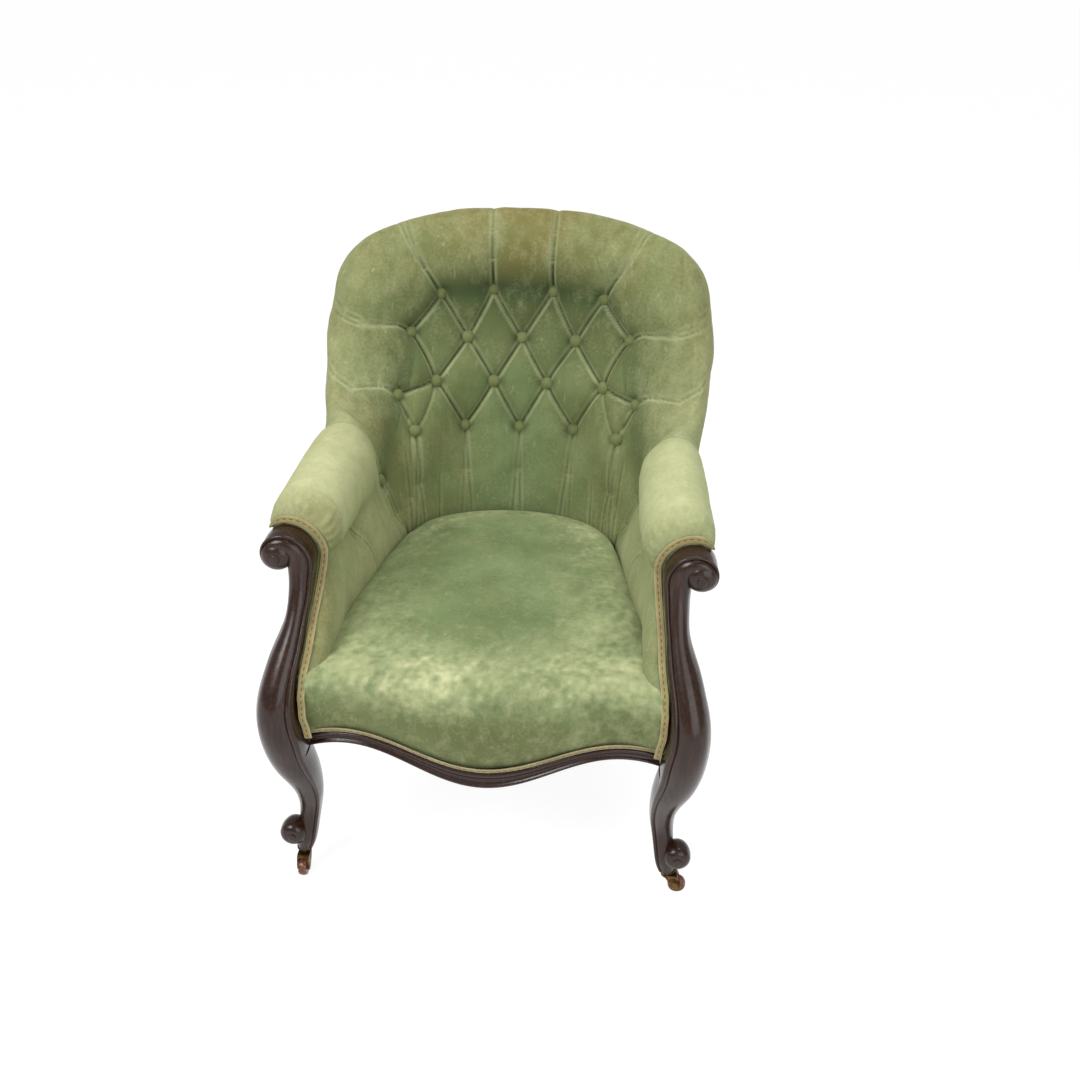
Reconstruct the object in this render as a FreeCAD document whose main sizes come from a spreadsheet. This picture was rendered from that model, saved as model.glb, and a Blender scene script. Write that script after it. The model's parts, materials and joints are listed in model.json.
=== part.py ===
import FreeCAD, Part
import Sketcher
import math
import os
from FreeCAD import Vector

# Upholstered spoon back armchair with carved front legs on castors.
# Millimetres. The front faces -Y, the sitter's left hand is at +X, and the floor is Z = 0.

doc = FreeCAD.newDocument("spoon_back_chair")
sheet = doc.addObject("Spreadsheet::Sheet", "sizes")
DRIVING = (
    ("rail_bottom", 267),
    ("rail_top", 333),
    ("rail_thick", 26),
    ("fit_gap", 0.4),
    ("wood_gap", 2.4),
    ("back_rail_half", 189.6),
    ("back_rail_front", 262),
    ("tack_rail_bottom", 345),
    ("tack_rail_height", 36),
    ("tack_rail_thick", 20),
    ("hoop_half_wide", 11),
    ("hoop_half_high", 14),
    ("hoop_in", 22),
    ("hoop_down", 45),
    ("hoop_clear", 0.8),
    ("hoop_shave", 8),
    ("lip_out", 20),
    ("lip_down", 42),
    ("canvas_thick", 2),
    ("canvas_top", 0.45),
    ("serpentine_high", 281),
    ("serpentine_drop", 57),
    ("serpentine_pitch", 210),
    ("bow_ends", 362),
    ("bow_depth", 27),
    ("bow_pitch", 300),
    ("show_edge_least", 20),
    ("show_edge_more", 10),
    ("rail_end", 277.6),
    ("rail_setback", 10),
    ("rail_body", 24),
    ("scroll_x", 322),
    ("scroll_z", 572),
    ("scroll_start", 56),
    ("scroll_end", 23.5),
    ("scroll_y", -273),
    ("scroll_half_deep", 25),
    ("seat_bottom", 376),
    ("cover_thick", 3),
    ("braid_wide", 15),
    ("braid_thick", 2.6),
    ("braid_set_back", 0.8),
    ("button_radius", 10),
    ("button_tall", 6.5),
    ("button_proud", 1.5),
    ("dowel_radius", 5),
    ("dowel_length", 44),
    ("drill_gap", 0.1),
    ("web_wide", 50),
    ("web_thick", 2.2),
    ("spring_wire", 1.8),
    ("spring_wide", 38),
    ("spring_waist", 25),
    ("spring_top", 371),
    ("foot_x", 304.5),
    ("foot_y", -353),
    ("rear_foot_x", 200),
    ("rear_foot_y", 365),
    ("castor_height", 46),
    ("flange_radius", 13),
    ("flange_thick", 3),
    ("peg_radius", 4),
    ("peg_length", 28),
    ("pintle_length", 10.4),
    ("head_radius", 6.4),
    ("head_thick", 2.6),
    ("running_gap", 0.05),
    ("wheel_radius", 15),
    ("wheel_wide", 13),
    ("wheel_crown", 1.5),
    ("trail", 18),
    ("fork_wide", 20.4),
    ("fork_slot", 14.4),
    ("fork_bridge", 33),
    ("boss_radius", 9),
    ("boss_top", 42.6),
    ("axle_radius", 2.2),
)
for row, (alias, value) in enumerate(DRIVING, start=1):
    sheet.set("A%d" % row, alias)
    sheet.set("B%d" % row, str(value))
    sheet.setAlias("B%d" % row, alias)
doc.recompute()
size = {alias: float(sheet.get(alias)) for alias, value in DRIVING}
nodes = []


def keep(obj, label):
    """Names an object and lists it as a sub-part."""
    obj.Label = label
    nodes.append(obj)
    return obj


def feature(label, shape):
    """Adds a sub-part from a finished shape."""
    obj = doc.addObject("Part::Feature", label)
    obj.Shape = shape
    return keep(obj, label)


def flip(shape):
    """The same shape on the other side of the middle plane."""
    return shape.mirror(Vector(0, 0, 0), Vector(1, 0, 0))


def both_sides(name, shape):
    """Adds a right-hand shape and its mirror image as two sub-parts."""
    feature(name + "_right", shape)
    feature(name + "_left", flip(shape))


def line(a, b):
    return Part.makeLine(a, b)


def arc(a, via, b):
    return Part.Arc(a, via, b).toShape()


def closed(points):
    """A closed wire of straight edges."""
    return Part.makePolygon(list(points) + [points[0]])


def blend(a, b, t):
    return a + (b - a) * t


def steps(table, at):
    """Reads the columns of a table between its rows, by its first column."""
    for low, high in zip(table, table[1:]):
        if low[0] <= at <= high[0]:
            t = (at - low[0]) / (high[0] - low[0])
            return [p + (q - p) * t for p, q in zip(low[1:], high[1:])]
    raise ValueError(at)


def rod(centre, direction, radius, length):
    return Part.makeCylinder(radius, length, centre - direction * (length / 2), direction)


# Front leg, from the foot up through the knee to the arm scroll.
# Columns: height, inner edge, outer edge, middle of the depth, half the depth.
LEG = (
    (46, 290.5, 316.5, -353, 13),
    (62, 284, 316, -351, 16),
    (90, 279, 312.5, -346, 18),
    (123, 273.5, 310, -340, 19),
    (150, 269.5, 310.5, -343, 21),
    (182, 268, 317, -350, 25),
    (222, 270, 334, -361, 31),
    (262, 276, 345, -371, 34),
    (300, 279, 350, -378, 35),
    (340, 286, 351, -380, 34),
    (375, 287, 347, -375, 31),
    (405, 285, 339, -361, 28),
    (440, 279, 327, -338, 26),
    (480, 275, 311, -311, 24),
    (515, 270, 308, -290, 24),
    (545, 266.5, 309, -279, 25),
)
SCROLL_TURN = (180, 150, 120, 90, 60, 30, 0, -30, -60, -90)


def scroll_radius(turn):
    """Radius of the arm scroll's outer edge at an angle in degrees."""
    if turn < 0:
        return size["scroll_end"] + turn * 0.04
    grown = (turn / 180.0) ** 1.35
    return size["scroll_end"] + (size["scroll_start"] - size["scroll_end"]) * grown


def scroll_point(turn, radius, depth):
    angle = math.radians(turn)
    x = size["scroll_x"] + radius * math.cos(angle)
    z = size["scroll_z"] + radius * math.sin(angle)
    return Vector(x, depth, z)


def leg_section(inner, outer, middle, half_deep):
    """Moulded section: a bead by the inner edge, a quirk, and a broad roll to the outer edge.

    inner and outer are points on the section's mid line; the depth runs along Y.
    """
    centre = blend(inner, outer, 0.5)
    across = (outer - inner) * 0.5

    def at(u, v):
        point = centre + across * u
        return Vector(point.x, middle + half_deep * v, point.z)

    edges = [
        arc(at(-0.86, 1), at(-1, 0.2), at(-0.93, -0.6)),
        arc(at(-0.93, -0.6), at(-0.8, -0.77), at(-0.62, -0.7)),
        arc(at(-0.62, -0.7), at(0.12, -1), at(0.86, -0.42)),
        arc(at(0.86, -0.42), at(1, 0.25), at(0.8, 1)),
        line(at(0.8, 1), at(-0.86, 1)),
    ]
    return Part.Wire(edges)


def knob(centre, radius, front, back, eye):
    """Turned end of a scroll about an axis along Y, with a raised eye."""
    def at(r, y):
        return centre + Vector(r, y, 0)

    edges = [
        line(at(0, back), at(0, -front - 2.5)),
        line(at(0, -front - 2.5), at(eye * 0.7, -front - 2.5)),
        arc(at(eye * 0.7, -front - 2.5), at(eye * 0.92, -front - 1.7), at(eye, -front)),
        line(at(eye, -front), at(eye + 1.5, -front)),
        arc(at(eye + 1.5, -front), at(radius * 0.86, -front * 0.76), at(radius, -front * 0.3)),
        arc(at(radius, -front * 0.3), at(radius * 0.98, back * 0.4), at(radius * 0.8, back)),
        line(at(radius * 0.8, back), at(0, back)),
    ]
    return Part.Face(Part.Wire(edges)).revolve(centre, Vector(0, 1, 0), 360)


def front_leg():
    """Leg, knee, neck and arm scroll carved from one piece, for the right-hand side."""
    wires = []
    for z, inner, outer, middle, half_deep in LEG:
        wires.append(leg_section(Vector(inner, 0, z), Vector(outer, 0, z), middle, half_deep))
    core = 9.0
    for turn in SCROLL_TURN:
        inner = scroll_point(turn, scroll_radius(turn), 0)
        outer = scroll_point(turn, core, 0)
        wires.append(leg_section(inner, outer, size["scroll_y"], size["scroll_half_deep"]))
    leg = Part.makeLoft(wires, True, False)
    arm_eye = Vector(size["scroll_x"], size["scroll_y"], size["scroll_z"] + 1)
    foot_eye = Vector(318.5, -356, 82)
    leg = leg.fuse(knob(arm_eye, 25, 29, size["scroll_half_deep"] - 0.5, 8))
    leg = leg.fuse(knob(foot_eye, 22, 20, 18, 7)).removeSplitter()
    # Flat seating for the front rail on the inner face.
    seating = Part.makeBox(60, 200, 345 - 266, Vector(size["rail_end"] + 0.4 - 60, -460, 266))
    leg = leg.cut(seating)
    peg_hole = Part.makeCylinder(
        size["peg_radius"] + size["running_gap"],
        size["peg_length"] + 2,
        Vector(size["foot_x"], size["foot_y"], size["castor_height"] - 1),
    )
    return leg.cut(peg_hole)


# Front seat rail: serpentine below, bowed forward in the middle.

def serpentine(x):
    """Height of the rail's lower edge."""
    wave = 0.5 * (1 + math.cos(math.pi * x / size["serpentine_pitch"]))
    return size["serpentine_high"] - size["serpentine_drop"] * wave


def show_edge(x):
    """Height of the moulded show edge."""
    wave = 0.5 * (1 + math.cos(math.pi * x / size["serpentine_pitch"]))
    return size["show_edge_least"] + size["show_edge_more"] * wave


def bow(x):
    """Front of the show edge along Y."""
    wave = 0.5 * (1 + math.cos(math.pi * x / size["bow_pitch"]))
    return -size["bow_ends"] - size["bow_depth"] * wave


def rail_face(x):
    """Front of the rail above the show edge, where the cover is tacked."""
    return bow(x) + size["rail_setback"]


def rail_ledge(x):
    return serpentine(x) + show_edge(x)


def front_rail_section(x):
    low = serpentine(x)
    high = rail_ledge(x)
    tall = high - low
    front = bow(x)

    def at(y, z):
        return Vector(x, front + y, z)

    back = size["rail_setback"] + size["rail_body"]
    return Part.Wire([
        line(at(back, size["rail_top"]), at(size["rail_setback"], size["rail_top"])),
        line(at(size["rail_setback"], size["rail_top"]), at(size["rail_setback"], high)),
        line(at(size["rail_setback"], high), at(2, high)),
        arc(at(2, high), at(0, high - 0.16 * tall), at(2.5, high - 0.32 * tall)),
        arc(at(2.5, high - 0.32 * tall), at(5, high - 0.54 * tall), at(2.5, high - 0.75 * tall)),
        arc(at(2.5, high - 0.75 * tall), at(0.5, high - 0.9 * tall), at(4, low)),
        line(at(4, low), at(back, low)),
        line(at(back, low), at(back, size["rail_top"])),
    ])


def spaced(end, count):
    return [-end + 2.0 * end * k / (count - 1) for k in range(count)]


def front_rail():
    wires = [front_rail_section(x) for x in spaced(size["rail_end"], 15)]
    return Part.makeLoft(wires, True, False)


def edge_roll():
    """Stitched roll of stuffing on top of the front rail."""
    wires = []
    gap = size["fit_gap"]
    for x in spaced(250, 11):
        front = rail_face(x) + 1
        back = front + size["rail_body"] - 2
        low = size["rail_top"] + gap
        high = size["seat_bottom"] - gap
        wires.append(Part.Wire([
            arc(Vector(x, front, low), Vector(x, front + 1.5, (low + high) / 2), Vector(x, front, high)),
            line(Vector(x, front, high), Vector(x, back, high)),
            line(Vector(x, back, high), Vector(x, back, low)),
            line(Vector(x, back, low), Vector(x, front, low)),
        ]))
    return Part.makeLoft(wires, True, True)


# Stations round the back, right half, from the middle to the arm.
# Each has the crest of the roll, the way out to the back cover, the way up to the crest,
# three points where the pleats cross it, the seat line, the canvas side and the cover's foot.
BUTTONS = {
    "top_in": Vector(55, 322, 805),
    "top_out": Vector(147, 300, 800),
    "upper_mid": Vector(0, 315, 716),
    "upper_in": Vector(101, 303, 718),
    "upper_out": Vector(200, 262, 740),
    "lower_in": Vector(49, 278, 643),
    "lower_mid": Vector(155, 250, 650),
    "lower_out": Vector(216, 182, 646),
    "foot_mid": Vector(0, 268, 555),
    "foot_in": Vector(103, 260, 557),
    "foot_out": Vector(184, 172, 580),
    "arm": Vector(230, 93, 515),
}
BUTTON_SEAT = Vector(0, 0, 7)


class Station:
    """One section of the padding."""

    def __init__(self, crest, out, up, pleats, puff, seat, canvas, foot, cover, thick=24, shave=0):
        self.crest = crest
        self.out = out.normalize()
        self.up = up.normalize()
        self.pleats = pleats
        self.puff = puff
        self.seat = seat
        self.canvas = canvas
        self.foot = foot
        self.cover = cover
        self.thick = thick
        self.shave = shave

    def hoop(self):
        """Centre of the wooden rail inside the roll."""
        return self.crest + self.out * size["hoop_in"] - self.up * size["hoop_down"]

    def place(self, out, up):
        return self.hoop() + self.out * out + self.up * up

    def moved(self, shift):
        """The same station moved sideways."""
        pleats = [p + shift for p in self.pleats]
        return Station(self.crest + shift, self.out * 1, self.up * 1, pleats, self.puff,
                       self.seat + shift, self.canvas + shift, self.foot + shift,
                       self.cover + shift, self.thick, self.shave)

    def flipped(self):
        def turn(v):
            return Vector(-v.x, v.y, v.z)

        return Station(turn(self.crest), turn(self.out), turn(self.up), [turn(p) for p in self.pleats],
                       self.puff, turn(self.seat), turn(self.canvas), turn(self.foot),
                       turn(self.cover), self.thick, self.shave)

    def swell(self, a, b, amount):
        """Arc between two points that swells toward the sitter."""
        return arc(a, blend(a, b, 0.5) - self.out * amount, b)

    def pad_wire(self):
        """Closed section of the padding, which hooks over the hoop rail."""
        low, mid, high = self.pleats
        under = self.seat + self.out * 6
        under.z = self.foot.z
        wide = size["hoop_half_wide"] + size["hoop_clear"]
        tall = size["hoop_half_high"] + size["hoop_clear"]
        lip = -size["lip_down"]
        outer = self.place(self.thick, 8)
        shoulder = blend(self.crest, outer, 0.5) + (self.out + self.up) * 8
        chain = [self.place(size["lip_out"], lip), self.place(wide, lip), self.place(wide, tall),
                 self.place(-wide, tall), self.canvas, self.foot, under]
        edges = [
            line(under, self.seat),
            self.swell(self.seat, low, 0.12 * (low - self.seat).Length),
            self.swell(low, mid, 0.16 * (mid - low).Length),
            self.swell(mid, high, 0.16 * (high - mid).Length),
            self.swell(high, self.crest, self.puff),
            arc(self.crest, shoulder, outer),
            line(outer, chain[0]),
        ]
        edges += [line(a, b) for a, b in zip(chain, chain[1:])]
        return Part.Wire(edges)

    def rail_wire(self):
        """Closed section of the hoop rail, thinned on its inner side by the shave."""
        wide = size["hoop_half_wide"]
        inner = self.shave - wide
        tall = size["hoop_half_high"]
        return closed([self.place(wide, tall), self.place(inner, tall),
                       self.place(inner, -tall), self.place(wide, -tall)])

    def cover_wire(self):
        """Closed section of the outside cover below the roll, bent at two fifths of its height."""
        top = self.place(size["lip_out"], -size["lip_down"] - size["fit_gap"])
        bend = blend(self.cover, top, 0.42)
        inward = self.out * -size["cover_thick"]
        return closed([self.cover, bend, top, top + inward, bend + inward, self.cover + inward])

    def canvas_wire(self):
        """Closed section of the canvas behind the padding."""
        near = size["fit_gap"]
        far = near + size["canvas_thick"]
        low = blend(self.foot, self.canvas, 0.2)
        clear = size["hoop_clear"]
        rail = self.place(-size["hoop_half_wide"] - clear, size["hoop_half_high"] + clear)
        top = blend(rail, self.canvas, size["canvas_top"])
        return closed([low + self.out * near, self.canvas + self.out * near, top + self.out * near,
                       top + self.out * far, self.canvas + self.out * far, low + self.out * far])


def seat_of(button):
    """Lower and upper edge of a button's seat."""
    point = BUTTONS[button]
    return point - BUTTON_SEAT, point + BUTTON_SEAT


def between(first, second, t, crest, out, up, puff, cover):
    """A station between two others, whose pleats run straight from one to the other."""
    pleats = [blend(a, b, t) for a, b in zip(first.pleats, second.pleats)]
    return Station(crest, out, up, pleats, puff, blend(first.seat, second.seat, t),
                   blend(first.canvas, second.canvas, t), blend(first.foot, second.foot, t), cover)


def back_stations():
    low_mid, high_mid = seat_of("upper_mid")
    middle = Station(Vector(0, 368, 945), Vector(0, 1, 0), Vector(0, 0, 1),
                     [BUTTONS["foot_mid"], low_mid, high_mid], 44,
                     Vector(0, 213, 386), Vector(0, 312, 643), Vector(0, 257, 336), Vector(0, 303, 275))
    low, high = seat_of("lower_in")
    first = Station(Vector(55, 366, 944), Vector(0.05, 1, 0), Vector(0, 0, 1),
                    [low, high, BUTTONS["top_in"]], 26,
                    Vector(54, 210, 386), Vector(55, 311, 643), Vector(52, 255, 336), Vector(55, 303, 275))
    low, high = seat_of("upper_in")
    second = Station(Vector(128, 358, 938), Vector(0.2, 0.98, 0), Vector(0.05, 0, 1),
                     [BUTTONS["foot_in"], low, high], 42,
                     Vector(104, 195, 386), Vector(116, 302, 645),
                     Vector(108, 244, 336), Vector(125, 303, 275))
    low, high = seat_of("lower_mid")
    third = Station(Vector(222, 334, 919), Vector(0.42, 0.9, 0), Vector(0.35, 0, 0.94),
                    [low, high, BUTTONS["top_out"]], 18,
                    Vector(150, 165, 387), Vector(180, 282, 650),
                    Vector(168, 218, 336), Vector(205, 302, 275))
    low, high = seat_of("upper_out")
    fourth = Station(Vector(340, 250, 785), Vector(0.45, 0.89, 0), Vector(0.93, -0.2, 0.3),
                     [BUTTONS["foot_out"], low, high], 28,
                     Vector(184, 122, 388), Vector(234, 258, 660),
                     Vector(208, 172, 336), Vector(237, 262, 275))
    point = BUTTONS["lower_out"]
    fifth = Station(Vector(341, 188, 697), Vector(0.62, 0.78, -0.1), Vector(0.72, -0.1, 0.68),
                    [point - BUTTON_SEAT, point, point + BUTTON_SEAT], 24,
                    Vector(189, 112, 388), Vector(256, 205, 610),
                    Vector(222, 140, 336), Vector(244, 175, 275))
    joint = joint_station()
    rounded = between(third, fourth, 0.34, Vector(283, 300, 893), Vector(0.5, 0.86, 0),
                      Vector(0.68, -0.05, 0.73), 26, Vector(233, 301, 275))
    shoulder = between(third, fourth, 0.67, Vector(322, 276, 848), Vector(0.48, 0.87, 0),
                       Vector(0.86, -0.1, 0.5), 32, Vector(236, 285, 275))
    wing = between(fourth, fifth, 0.5, Vector(346, 220, 742), Vector(0.54, 0.84, 0),
                   Vector(0.9, -0.15, 0.42), 40, Vector(241, 215, 275))
    waist = between(fifth, joint, 0.5, Vector(322, 118, 658), Vector(0.85, 0.5, 0),
                    Vector(0.35, -0.1, 0.92), 34, Vector(250, 125, 275))
    # The hoop rail is thinned on its inner side where it bends into the wing.
    rounded.shave = size["hoop_shave"] / 2
    for station in (shoulder, fourth, wing, fifth):
        station.shave = size["hoop_shave"]
    return [middle, first, second, third, rounded, shoulder, fourth, wing, fifth, waist, joint]


def joint_station():
    """Flat section where the arm meets the back."""
    point = BUTTONS["arm"]
    return Station(Vector(288, 75.6, 648), Vector(1, -0.3, 0), Vector(0, 0, 1),
                   [point - BUTTON_SEAT, point, point + BUTTON_SEAT], 8,
                   Vector(192.5, 104.25, 388), Vector(270, 81, 520), Vector(232, 92.4, 336),
                   Vector(254, 85.8, 275))


# Arm sections, from the back to the front.
# Columns: depth along Y, seat line x and z, valley x and z, crest x and z, canvas x, foot x.
ARM = (
    (25, 205, 392, 236, 528, 290, 654, 272, 238),
    (-70, 221, 396, 241, 533, 288, 658, 274, 248),
    (-160, 238, 400, 248, 537, 290, 658, 276, 262),
    (-210, 247, 402, 254, 540, 291, 655, 278, 268),
    (-247, 255, 404, 261, 545, 292, 649, 282, 275),
)
SIDE_RAIL_FRONT = Vector(308, -336, 0)
SIDE_RAIL_BACK = Vector(226, 256.6, 0)


def side_rail_x(y):
    """Outer face of the side seat rail."""
    t = (y - SIDE_RAIL_FRONT.y) / (SIDE_RAIL_BACK.y - SIDE_RAIL_FRONT.y)
    return blend(SIDE_RAIL_FRONT, SIDE_RAIL_BACK, t).x


def arm_stations():
    stations = [joint_station().moved(Vector(-0.3, -1, 0) * 0.6)]
    for y, seat_x, seat_z, valley_x, valley_z, crest_x, crest_z, canvas_x, foot_x in ARM:
        valley = Vector(valley_x, y, valley_z)
        stations.append(Station(
            Vector(crest_x, y, crest_z), Vector(1, 0, 0), Vector(0, 0, 1),
            [valley - BUTTON_SEAT, valley, valley + BUTTON_SEAT], 34,
            Vector(seat_x, y, seat_z), Vector(canvas_x, y, 505), Vector(foot_x, y, 336),
            Vector(side_rail_x(y) + 4.8, y, 275), 30))
    return stations


# Front edge of the outside arm cover, from the side rail up behind the leg to the arm scroll,
# and the share of the cover's height at each of its points.
COVER_FRONT = ((311.5, -334, 275), (311.5, -338, 368), (306, -316, 430), (303, -261, 510), (331, -236, 561))
COVER_SHARES = (0, 0.28, 0.47, 0.72, 1)


def arm_cover(stations):
    """Outside cover of the arm; its front edge follows the back of the leg."""
    bands = [[] for share in COVER_SHARES[1:]]
    for station in stations:
        top = station.place(size["lip_out"], -size["lip_down"] - size["fit_gap"])
        rows = [blend(station.cover, top, share) for share in COVER_SHARES]
        if station is stations[-1]:
            rows = [Vector(*point) for point in COVER_FRONT]
        inward = station.out * -size["cover_thick"]
        for band, low, high in zip(bands, rows, rows[1:]):
            band.append(closed([low, high, high + inward, low + inward]))
    cover = Part.makeLoft(bands[0], True, True)
    for band in bands[1:]:
        cover = cover.fuse(Part.makeLoft(band, True, True))
    return cover


def corner_station(station):
    """The back corner's station, moved clear of the outside back cover's edge."""
    return station.moved(station.out.cross(station.up).normalize() * size["fit_gap"])


def arm_path():
    """Places along the wood's inner edge, from above the seat round the arm scroll.

    Each has the edge, the way out of the wood, and the depth of the braid, which falls
    back from the middle of the knee to the rear of the scroll.
    """
    places = []
    set_back = size["braid_set_back"]
    for z in (452, 480, 515, 545):
        inner, outer, middle, half_deep = steps(LEG, z)
        lean = -0.1 + (set_back + 0.1) * min(1.0, (z - 440) / 105.0)
        places.append((Vector(inner, 0, z), Vector(-1, 0, 0), middle + lean * half_deep))
    for turn in (180, 155, 130, 105, 80, 60):
        edge = scroll_point(turn, scroll_radius(turn), 0)
        out = edge - Vector(size["scroll_x"], 0, size["scroll_z"])
        places.append((edge, out.normalize(), size["scroll_y"] + set_back * size["scroll_half_deep"]))
    return places


def arm_front():
    """Padded front of the arm round the wood."""
    wires = []
    back = ARM[-1][0] - 0.6
    for k, (edge, out, depth) in enumerate(arm_path()):
        wide = 26.0 if k < 7 else 26.0 - 6.0 * (k - 6)
        front = depth + size["braid_thick"] + 0.3
        near = edge + out * size["wood_gap"]
        far = edge + out * wide

        def at(point, y):
            return Vector(point.x, y, point.z)

        turn_in = blend(far, near, 7.0 / wide)
        soft = min(9.0, 0.6 * (back - front))
        wires.append(Part.Wire([
            line(at(near, back), at(near, front)),
            line(at(near, front), at(turn_in, front)),
            arc(at(turn_in, front), at(far - out * 2, front + 0.28 * soft), at(far, front + soft)),
            line(at(far, front + soft), at(far, back)),
            line(at(far, back), at(near, back)),
        ]))
    return Part.makeLoft(wires, True, True)


def arm_braid():
    """Woven braid along the wood's inner edge, from the rail round the arm scroll."""
    places = []
    for z in (306, 340, 375, 405, 440):
        inner, outer, middle, half_deep = steps(LEG, z)
        places.append((Vector(inner, 0, z), Vector(-1, 0, 0), middle - 0.1 * half_deep))
    wires = []
    for edge, out, depth in places + arm_path():
        near = edge + out * size["wood_gap"]
        far = near + out * size["braid_wide"]
        wires.append(closed([Vector(near.x, depth, near.z), Vector(far.x, depth, far.z),
                             Vector(far.x, depth + size["braid_thick"], far.z),
                             Vector(near.x, depth + size["braid_thick"], near.z)]))
    return Part.makeLoft(wires, True, True)


def front_braid():
    """Woven braid along the top of the show edge."""
    wires = []
    for x in spaced(258, 25):
        low = rail_ledge(x) + 0.5
        high = low + size["braid_wide"]
        face = rail_face(x)
        thick = size["braid_thick"]
        wires.append(closed([Vector(x, face - 5.5, low), Vector(x, face - 5.5 - thick, low),
                             Vector(x, face - 11 - thick, high), Vector(x, face - 11, high)]))
    return Part.makeLoft(wires, True, True)


# Seat sections, from the middle to the side. Columns: x, back edge along Y, crown height.
SEAT = (
    (0, 202, 440),
    (60, 197, 439),
    (110, 180, 437),
    (150, 151, 434),
    (174, 118, 432),
    (184, 98, 431),
    (198, 20, 430),
    (214, -75, 429),
    (231, -165, 427),
    (248, -250, 424),
    (264, -330, 419),
)


def seat_section(x, back, crown):
    """Crowned section of the seat with the fall of its front."""
    reach = abs(x)
    face = rail_face(reach) - 1.4
    toe = Vector(x, face, rail_ledge(reach) + 3.5)
    crest = Vector(x, face + 8, 414)
    rear = Vector(x, back, 397)
    rear_foot = Vector(x, back, size["seat_bottom"])
    heel = Vector(x, face, size["seat_bottom"])
    lift = crown - 0.5 * (crest.z + rear.z)
    lift *= min(1.0, (rear.y - crest.y) / 200.0)
    top = blend(crest, rear, 0.5) + Vector(0, 0, lift)
    return Part.Wire([
        arc(toe, Vector(x, face - 17, blend(toe, crest, 0.55).z), crest),
        arc(crest, top, rear),
        line(rear, rear_foot),
        line(rear_foot, heel),
        line(heel, toe),
    ])


def seat_pad():
    rows = [(-x, back, crown) for x, back, crown in SEAT[:0:-1]] + list(SEAT)
    return Part.makeLoft([seat_section(*row) for row in rows], True, True)


def prism(points, low, high):
    """Upright prism on a plan outline."""
    face = Part.Face(closed([Vector(x, y, low) for x, y in points]))
    return face.extrude(Vector(0, 0, high - low))


def seat_springs():
    """Waisted coil springs; each is one wire of quarter turns."""
    low = size["rail_bottom"] + size["spring_wire"]
    tall = size["spring_top"] - low
    quarters = 20
    narrow = size["spring_wide"] - size["spring_waist"]

    def at(q):
        t = q / float(quarters)
        radius = size["spring_wide"] - narrow * math.sin(math.pi * t)
        angle = q * math.pi / 2
        return Vector(radius * math.cos(angle), radius * math.sin(angle), low + tall * t)

    path = Part.Wire([arc(at(q), at(q + 0.5), at(q + 1)) for q in range(quarters)])
    start = at(0)
    ring = Part.Wire(Part.makeCircle(size["spring_wire"], start, (at(0.5) - start)))
    wire = Part.BRepOffsetAPI.MakePipeShell(path)
    wire.add(ring, False, True)
    wire.build()
    wire.makeSolid()
    coil = wire.shape()
    points = [at(q / 6.0) for q in range(quarters * 6)]
    turn_gap = min((a - b).Length for i, a in enumerate(points) for b in points[i + 14:])
    print("spring: least gap between turns", round(turn_gap - 2 * size["spring_wire"], 2))
    coils = []
    for x in (-115, 0, 115):
        for y in (-235, -95, 45):
            copy = coil.copy()
            copy.translate(Vector(x, y, 0))
            coils.append(copy)
    return Part.makeCompound(coils)


def webbing():
    """Crossed strips of webbing under the seat rails."""
    strips = []
    thick = size["web_thick"]
    upper = size["rail_bottom"] - thick - 0.2
    lower = upper - thick - 0.1
    wide = size["web_wide"]
    for x in (-135, -45, 45, 135):
        start = rail_face(abs(x) + wide / 2) + size["rail_body"] + 1
        strips.append(Part.makeBox(wide, 284 - start, thick, Vector(x - wide / 2, start, upper)))
    for y in (-250, -140, -30, 80):
        reach = side_rail_x(y + wide / 2) - 4
        strips.append(Part.makeBox(2 * reach, wide, thick, Vector(-reach, y - wide / 2, lower)))
    return Part.makeCompound(strips)


# Rear leg and back stile in one piece. Columns: height, x, y, half width.
STILE = (
    (46, 200, 365, 13),
    (150, 203, 326, 15.5),
    (258, 208, 275, 18),
    (342, 208, 275, 18),
    (500, 206, 281, 14),
    (660, 209, 306, 13),
    (800, 205, 340, 10),
    (856, 205, 349, 8.5),
)


def rear_leg():
    wires = []
    for z, x, y, half in STILE:
        wires.append(closed([Vector(x - half, y - half, z), Vector(x + half, y - half, z),
                             Vector(x + half, y + half, z), Vector(x - half, y + half, z)]))
    leg = Part.makeLoft(wires, True, True)
    peg_hole = Part.makeCylinder(
        size["peg_radius"] + size["running_gap"],
        size["peg_length"] + 2,
        Vector(size["rear_foot_x"], size["rear_foot_y"], size["castor_height"] - 1),
    )
    return leg.cut(peg_hole)


def dowel_places():
    """Centre and direction of each dowel on the right-hand side, with the joint it pins."""
    along_x = Vector(1, 0, 0)
    along_y = Vector(0, 1, 0)
    places = []
    for z in (280, 306):
        places.append(("front", Vector(size["rail_end"], rail_face(270) + 9, z), along_x))
        places.append(("back", Vector(190, 275, z), along_x))
    for z in (293, 320):
        places.append(("side_front", Vector(297, -337, z), along_y))
        places.append(("side_back", Vector(213, 257, z), along_y))
    return places


def drilled(shape, joints):
    """Cuts the dowel holes of the named joints."""
    for joint, centre, direction in dowel_places():
        if joint in joints:
            radius = size["dowel_radius"] + size["drill_gap"]
            shape = shape.cut(rod(centre, direction, radius, size["dowel_length"] + 1))
    return shape


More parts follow.
